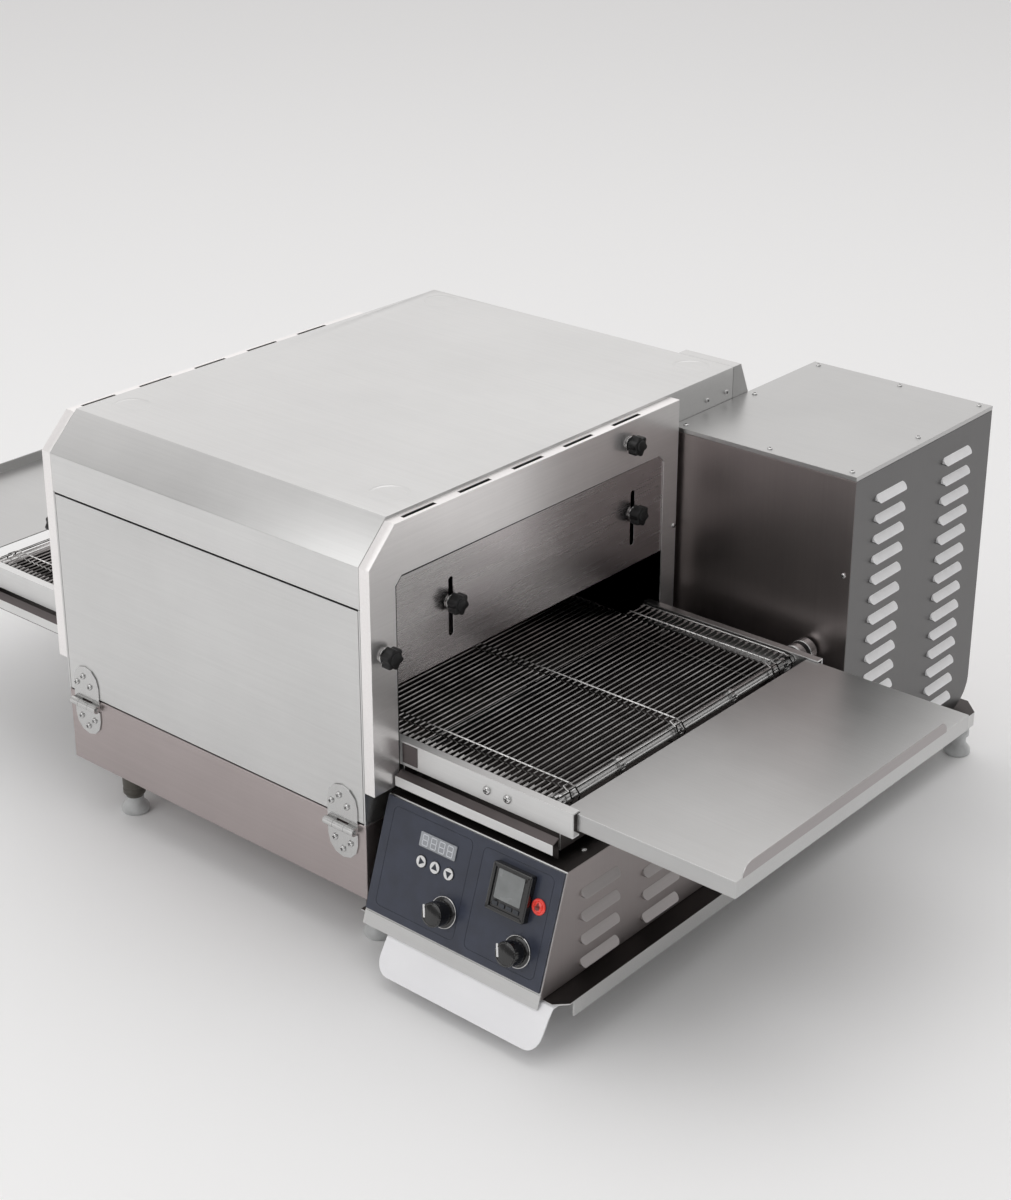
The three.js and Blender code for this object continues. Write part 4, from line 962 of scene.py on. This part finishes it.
# ---------------------------------------------------------------- controls
SLOPE = math.atan2(38.6, 116.5)
PANEL = shift(spot(0, 25, 181.5)) @ Matrix.Rotation(math.pi / 2 - SLOPE, 4, "X")
FACE = 0.0023  # outer face of the overlay above the box's slope, in metres
PRINT = 0.00005  # the printed lines lie this far above it
SPEED_KNOB, HEAT_KNOB = (341, 89), (436, 92)  # places on the panel, as on_panel takes them
DISPLAY, LAMP, CONTROLLER, KEY_ROW = (317.5, 29), (449, 42), (416, 39), 51
PRINTED_BOXES = ((306, 61, 52, 52), (416, 61, 44, 52))  # place and half sizes
FIGURES, FIGURE_STEP = 4, 10.8


def on_panel(x, s, h=FACE):
    """A place on the sloping panel: x from the cabinet's middle and s down the slope in mm, h in metres."""
    return PANEL @ shift((x * MM, -s * MM, h))


def digit_bars(width, height, thick):
    """The seven bars of one figure, as centre and size."""
    half, quarter = height / 2, height / 4
    return ([((0, y), (width, thick)) for y in (half, 0, -half)]
            + [((x, y), (thick, half)) for y in (quarter, -quarter) for x in (-width / 2, width / 2)])


class OVEN_OT_control_box(OvenStep, bpy.types.Operator):
    """Fold the control box and lay the overlay with its printed lines"""
    bl_idname = "oven.control_box"
    bl_label = "Control box and overlay"

    def execute(self, context):
        # The box's top takes painted shade; its outer side takes darkened steel, painted shade too.
        dress("control_box", ["sheet_z", "shade", "control"], fold=0.001,
              shade=lambda f: 1 if f.normal.z > 0.9 else 2 if f.normal.x > 0.7 else 0)
        place = shift(spot(356.3, -16.2, 57.2)) @ Matrix.Rotation(-0.32, 4, "X")
        settle("control_box_lip", moved(bar((0.229, 0.0008, 0.0145), 0.0003), place), "sheet_x")
        dress("control_panel", "overlay", fold=0, edge=0.0004, smooth=20)
        lines = bmesh.new()
        for x, s, half_x, half_s in PRINTED_BOXES:
            outline = rounded_box(half_x * MM, half_s * MM, 0.006, 5)
            gather(lines, tubes([[(*point, PRINT) for point in outline]], 0.00022, True), on_panel(x, s))
        for place in (SPEED_KNOB, HEAT_KNOB):
            for turn in range(-60, 270, 30):
                gather(lines, bar((0.0022, 0.0005, 0.0002)),
                       on_panel(*place, FACE + PRINT) @ spun(math.radians(turn)) @ shift((0.0185, 0, 0)))
        settle("overlay_lines", lines, "line")
        return {"FINISHED"}


class OVEN_OT_display(OvenStep, bpy.types.Operator):
    """Fit the display with its four unlit figures, the three arrow keys and the flame lamp"""
    bl_idname = "oven.display"
    bl_label = "Display, keys and lamp"

    def execute(self, context):
        x, s = DISPLAY
        pane = plate(rounded_box(0.0235, 0.0075, 0.001), 0.0012, 0.0003)
        whole = moved(pane, on_panel(x, s, FACE + 0.0003))
        for i in range(FIGURES):
            figure = on_panel(x + (i - (FIGURES - 1) / 2) * FIGURE_STEP, s, FACE + 0.00155)
            for centre, (width, height) in digit_bars(0.0066, 0.0108, 0.0014):
                gather(whole, bar((width - 0.0003, height - 0.0003, 0.0003), 0.0001, 1),
                       figure @ shift((*centre, 0)), 1)
        stand_in("display_window", "display_window_figures", whole, ["window", "figure"])

        for node, x, turn in (("start_button", 301, 0), ("up_button", 319, 90), ("down_button", 337, -90)):
            key = turned([(0, -0.0006), (0.0064, -0.0006), (0.0065, 0.0006), (0.0062, 0.001),
                          (0.0056, 0.0012), (0, 0.0012)], 32)
            gather(key, disc(0.0059, 0.0011, 0.00145, 32), material=1)
            arrow = plate(arc(0, 0, 0.0044, 0, 240, 2), 0.0004, 0.0001)
            gather(key, arrow, spun(math.radians(turn)) @ shift((0, 0, 0.0013)), 2)
            stand_in(node, node + "_cap", moved(key, on_panel(x, KEY_ROW)), ["key", "white", "line"], 35)

        lamp = turned([(0, 0.0003), (0.008, 0.0003), (0.008, 0.0013), (0.0072, 0.0019), (0.0060, 0.0019),
                       (0.0056, 0.0016), (0, 0.0016)], 36)
        gather(lamp, turned([(0, 0.0015), (0.0056, 0.0015), (0.0052, 0.0024), (0.004, 0.003), (0.002, 0.0033),
                             (0, 0.0034)], 32), material=1)
        flame = [(0, 0.0046), (0.0012, 0.0028), (0.0026, 0.0014), (0.003, -0.0006), (0.0022, -0.0026),
                 (0, -0.0034), (-0.0022, -0.0026), (-0.003, -0.0006), (-0.0024, 0.001), (-0.0012, 0.0006),
                 (-0.001, 0.0024)]
        gather(lamp, plate(flame, 0.0005, 0.0002), shift((0, 0, 0.0031)), 2)
        stand_in("flame_lamp", "flame_lamp_lens", moved(lamp, on_panel(*LAMP)), ["lamp", "lamp", "flame"], 35)
        return {"FINISHED"}


class OVEN_OT_panel_knobs(OvenStep, bpy.types.Operator):
    """Turn the two control knobs with their pointers"""
    bl_idname = "oven.panel_knobs"
    bl_label = "Control knobs"

    def execute(self, context):
        for node, place in (("speed_knob", SPEED_KNOB), ("heat_knob", HEAT_KNOB)):
            knob = turned([(0, 0.0003), (0.015, 0.0003), (0.0155, 0.0009), (0.0155, 0.0022), (0.0148, 0.0032),
                           (0.0132, 0.0038), (0, 0.0038)], 48)
            gather(knob, plate(lobed(0.0124, 96, 24, 0.00018), 0.0166, 0.0011), shift((0, 0, 0.0036)))
            gather(knob, turned([(0.0098, 0.0199), (0.0112, 0.0199), (0.0112, 0.0205), (0.0106, 0.0208),
                                 (0.0101, 0.0205), (0.0098, 0.0199)], 48))
            pointer = shift((-0.0094, 0.0008, 0.0203)) @ spun(0.3)
            gather(knob, bar((0.0024, 0.0128, 0.001), 0.0003, 1), pointer, 1)
            gather(knob, bar((0.0006, 0.0021, 0.014), 0.0001, 1), shift((-0.0125, 0, 0.0122)), 1)
            gather(knob, turned([(0.0148, 0.0004), (0.0159, 0.0004), (0.0162, 0.0009), (0.0162, 0.0019),
                                 (0.0158, 0.0024), (0.0148, 0.0024), (0.0148, 0.0004)], 48), material=2)
            moved(knob, on_panel(*place))
            stand_in(node, node + "_moulding", knob, ["gloss", "white", "bright"], 30)
        return {"FINISHED"}


class OVEN_OT_controller(OvenStep, bpy.types.Operator):
    """Mould the square temperature controller with its screen and keys"""
    bl_idname = "oven.controller"
    bl_label = "Temperature controller"

    def execute(self, context):
        body = moved(bar((0.0446, 0.0446, 0.0605), 0.0006), shift((0, 0, -0.0325)))
        bezel = plate(rounded_box(0.024, 0.024, 0.0022), 0.008, 0.0014)
        top = max(bezel.faces, key=lambda f: f.calc_center_median().z * 100 + f.calc_area())
        bmesh.ops.inset_region(bezel, faces=[top], thickness=0.0028, depth=0)
        bmesh.ops.inset_region(bezel, faces=[top], thickness=0.0005, depth=-0.0014)
        gather(body, bezel, shift((0, 0, 0.0003)))
        gather(body, plate(rounded_box(0.0162, 0.0148, 0.0012), 0.0006, 0.0002),
               shift((0, 0.0042, 0.0069)), 1)
        for i in range(4):
            gather(body, plate(rounded_box(0.0034, 0.0021, 0.0008), 0.001, 0.0003),
                   shift(((i - 1.5) * 0.0088, -0.0154, 0.0069)), 2)
        stand_in("temperature_controller", "temperature_controller_case", moved(body, on_panel(*CONTROLLER)),
                 ["gloss", "screen", "key"])
        return {"FINISHED"}


# ---------------------------------------------------------------- machine side
LOUVER_HEIGHT, LOUVER_PROUD = 0.009, 0.006
# Housing, piece, finish and drop from row to row; then each column's y and top row in mm, and its rows.
LOUVERS = (
    ("rear_box_body", "rear_box_louvers", "louver", 23.9, ((569.5, 398, 12), (710, 398, 14))),
    ("control_box", "control_box_louvers", "control_louver", 26, ((73, 149, 4), (170.5, 151, 4))))


def louver(length):
    """One pressed louver on a face that looks along X: a slanted round-ended face, closed below by a
    near-black face that is painted shadow of the opening.
    """
    bm = bmesh.new()
    outline = rounded_box(length / 2, LOUVER_HEIGHT / 2, LOUVER_HEIGHT / 2 - 0.0001, 6)
    inner = [bm.verts.new((0, y, z)) for y, z in outline]
    outer = [bm.verts.new((LOUVER_PROUD * (0.5 - z / LOUVER_HEIGHT) + 0.0003, y, z)) for y, z in outline]
    front = walled(bm, inner, outer)[1]
    # The underside takes the near-black finish: painted shadow.
    for face in bm.faces:
        face.material_index = 1 if face.normal.z < -0.6 else 0
    bevelled(bm, front.edges[:], 0.0006)
    return bm


class OVEN_OT_machine_side(OvenStep, bpy.types.Operator):
    """Fold the rear box, its lid, the base pan and the white drop sheet"""
    bl_idname = "oven.machine_side"
    bl_label = "Rear box, base pan and drop sheet"

    def execute(self, context):
        # The rear box's front takes darkened steel (painted dark reflection); its outer side a darker one
        # (painted shade).
        dress("rear_box_body", ["rear", "rear_side"], fold=0.0014, shade=lambda f: f.normal.x > 0.7)
        # The rear lid takes darkened steel: painted shade.
        dress("rear_box_lid", "cap", fold=0.001)
        # The base pan's top takes painted shade.
        dress("machine_base_pan", ["sheet_x", "shade"], fold=0, shade=lambda f: f.normal.z > 0.5)
        dress("front_flap", "flap", fold=0)
        return {"FINISHED"}


class OVEN_OT_louvers(OvenStep, bpy.types.Operator):
    """Press the cooling louvers into the outer sides of the machine housings"""
    bl_idname = "oven.louvers"
    bl_label = "Louvers"

    def execute(self, context):
        length = context.scene.oven_sizes.louver
        for housing, name, finish, drop, columns in LOUVERS:
            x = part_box(housing)[1].x - 0.0002
            pressed = bmesh.new()
            for y, top, rows in columns:
                for i in range(rows):
                    gather(pressed, louver(length), shift(spot(0, y, top - i * drop) + Vector((x, 0, 0))))
            settle(name, pressed, [finish, "gap"])
        return {"FINISHED"}


class OVEN_OT_fasteners(OvenStep, bpy.types.Operator):
    """Drive the sheet screws of the housings"""
    bl_idname = "oven.fasteners"
    bl_label = "Fasteners"

    def execute(self, context):
        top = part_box("rear_box_lid")[1].z - HAIR
        lid = [(x, y) for x in (243, 355, 459) for y in (510, 778)] + [(243, 644), (459, 644)]
        screws("rear_lid_screws", [(spot(x, y, top / MM), UP) for x, y in lid])
        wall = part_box("rear_box_body")[0].y
        screws("rear_box_front_screws", [(Vector((0.4625, wall + HAIR, z)), FRONT) for z in (0.105, 0.32)])
        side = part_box("right_end_wall")[1].x
        screws("cabinet_end_screws",
               [(Vector((sign * side, spot(0, y, 0).y, z * MM)), (sign, 0, 0))
                for sign in (-1, 1) for y, z in ((566, 446), (603, 446), (603, 200), (603, 330))])
        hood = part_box("right_end_cover")[1].x
        screws("hood_rear_screw", [(Vector((hood, spot(0, 489.5, 0).y, 0.3214)), (1, 0, 0))])
        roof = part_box("control_box")[1].z
        screws("control_box_screw", [(spot(457, 66, roof / MM), UP)], radius=0.0032)
        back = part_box("rear_panel")[1].y
        screws("back_screws", [(Vector((x * MM, back, z * MM)), BACK)
                               for x in (-215, -75, 75) for z in (80, 270, 458)])
        return {"FINISHED"}


FOOT_PROFILE = [
    (0, 0), (0.0138, 0), (0.0155, 0.0008), (0.016, 0.002), (0.016, 0.0055), (0.0148, 0.008), (0.0118, 0.011),
    (0.01, 0.014), (0.01, 0.02), (0.011, 0.0225), (0.0128, 0.0245), (0.013, 0.026), (0.013, 0.03),
    (0.0126, 0.0305), (0.0126, 0.0335), (0.013, 0.034)]
FOOT_DARK_Z = 0.0205  # above this height the moulding of a foot under the cabinet is dark


class OVEN_OT_feet(OvenStep, bpy.types.Operator):
    """Mould the screw feet with their pads and threaded studs"""
    bl_idname = "oven.feet"
    bl_label = "Feet"

    def execute(self, context):
        corners = [f"{end}_{side}_foot" for end in ("front", "rear") for side in ("left", "right")]
        for node in [*corners, "machine_foot"]:
            low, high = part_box(node)
            top = high.z
            foot = turned(FOOT_PROFILE + [(0.013, top - 0.0135), (0.012, top - 0.012), (0, top - 0.012)], 36)
            thread = [(0, top - 0.013), (0.0078, top - 0.013)]
            thread += [(0.0078 - 0.0006 * (i % 2), top - 0.0125 + 0.001 * i) for i in range(12)]
            gather(foot, turned(thread + [(0.0078, top - 0.0004), (0, top - 0.0004)], 24), material=1)
            if node != "machine_foot":
                for face in foot.faces:
                    if face.material_index == 0 and face.calc_center_median().z > FOOT_DARK_Z:
                        face.material_index = 2
            moved(foot, shift(((low.x + high.x) / 2, (low.y + high.y) / 2, 0)))
            stand_in(node, node + "_moulding", foot, ["foot", "turned", "collar"], 35)
        return {"FINISHED"}


class OVEN_OT_interior(OvenStep, bpy.types.Operator):
    """Dress the chamber, the air ducts, the heater and the fan"""
    bl_idname = "oven.interior"
    bl_label = "Chamber interior"

    def execute(self, context):
        dress("chamber_liner", "chamber", fold=0)
        dress("upper_air_duct", "chamber", fold=0)
        dress("lower_air_duct", "chamber", fold=0)
        dress("heating_element", "heater", fold=0, edge=0, smooth=75)
        dress("fan_wheel", "chamber", fold=0, smooth=30)
        dress("fan_motor", "motor", fold=0, edge=0.0006, smooth=30)
        dress("gear_motor", "motor", fold=0, edge=0.0006, smooth=30)
        return {"FINISHED"}


STEPS = (
    OVEN_OT_finishes, OVEN_OT_stage, OVEN_OT_cabinet, OVEN_OT_door, OVEN_OT_hoods, OVEN_OT_clamp_knobs,
    OVEN_OT_hinges, OVEN_OT_belt, OVEN_OT_shafts, OVEN_OT_conveyor_frame, OVEN_OT_control_box,
    OVEN_OT_display, OVEN_OT_panel_knobs, OVEN_OT_controller, OVEN_OT_machine_side, OVEN_OT_louvers,
    OVEN_OT_fasteners, OVEN_OT_feet, OVEN_OT_interior)


class OVEN_PT_steps(bpy.types.Panel):
    """The oven's steps, in the order that builds it"""
    bl_idname = "OVEN_PT_steps"
    bl_label = "Pizza oven"
    bl_space_type = "VIEW_3D"
    bl_region_type = "UI"
    bl_category = "Pizza Oven"

    def draw(self, context):
        for group in (context.scene.oven_sizes, context.scene.oven_colours):
            for key in group.__annotations__:
                self.layout.prop(group, key)
        for step in STEPS:
            self.layout.operator(step.bl_idname)


CLASSES = (OvenSizes, OvenColours, *STEPS, OVEN_PT_steps)


def register():
    for cls in CLASSES:
        bpy.utils.register_class(cls)
    bpy.types.Scene.oven_sizes = bpy.props.PointerProperty(type=OvenSizes)
    bpy.types.Scene.oven_colours = bpy.props.PointerProperty(type=OvenColours)


def unregister():
    del bpy.types.Scene.oven_colours
    del bpy.types.Scene.oven_sizes
    for cls in reversed(CLASSES):
        bpy.utils.unregister_class(cls)


def main():
    register()
    for step in STEPS:
        group, name = step.bl_idname.split(".")
        getattr(getattr(bpy.ops, group), name)()


if __name__ == "__main__":
    main()
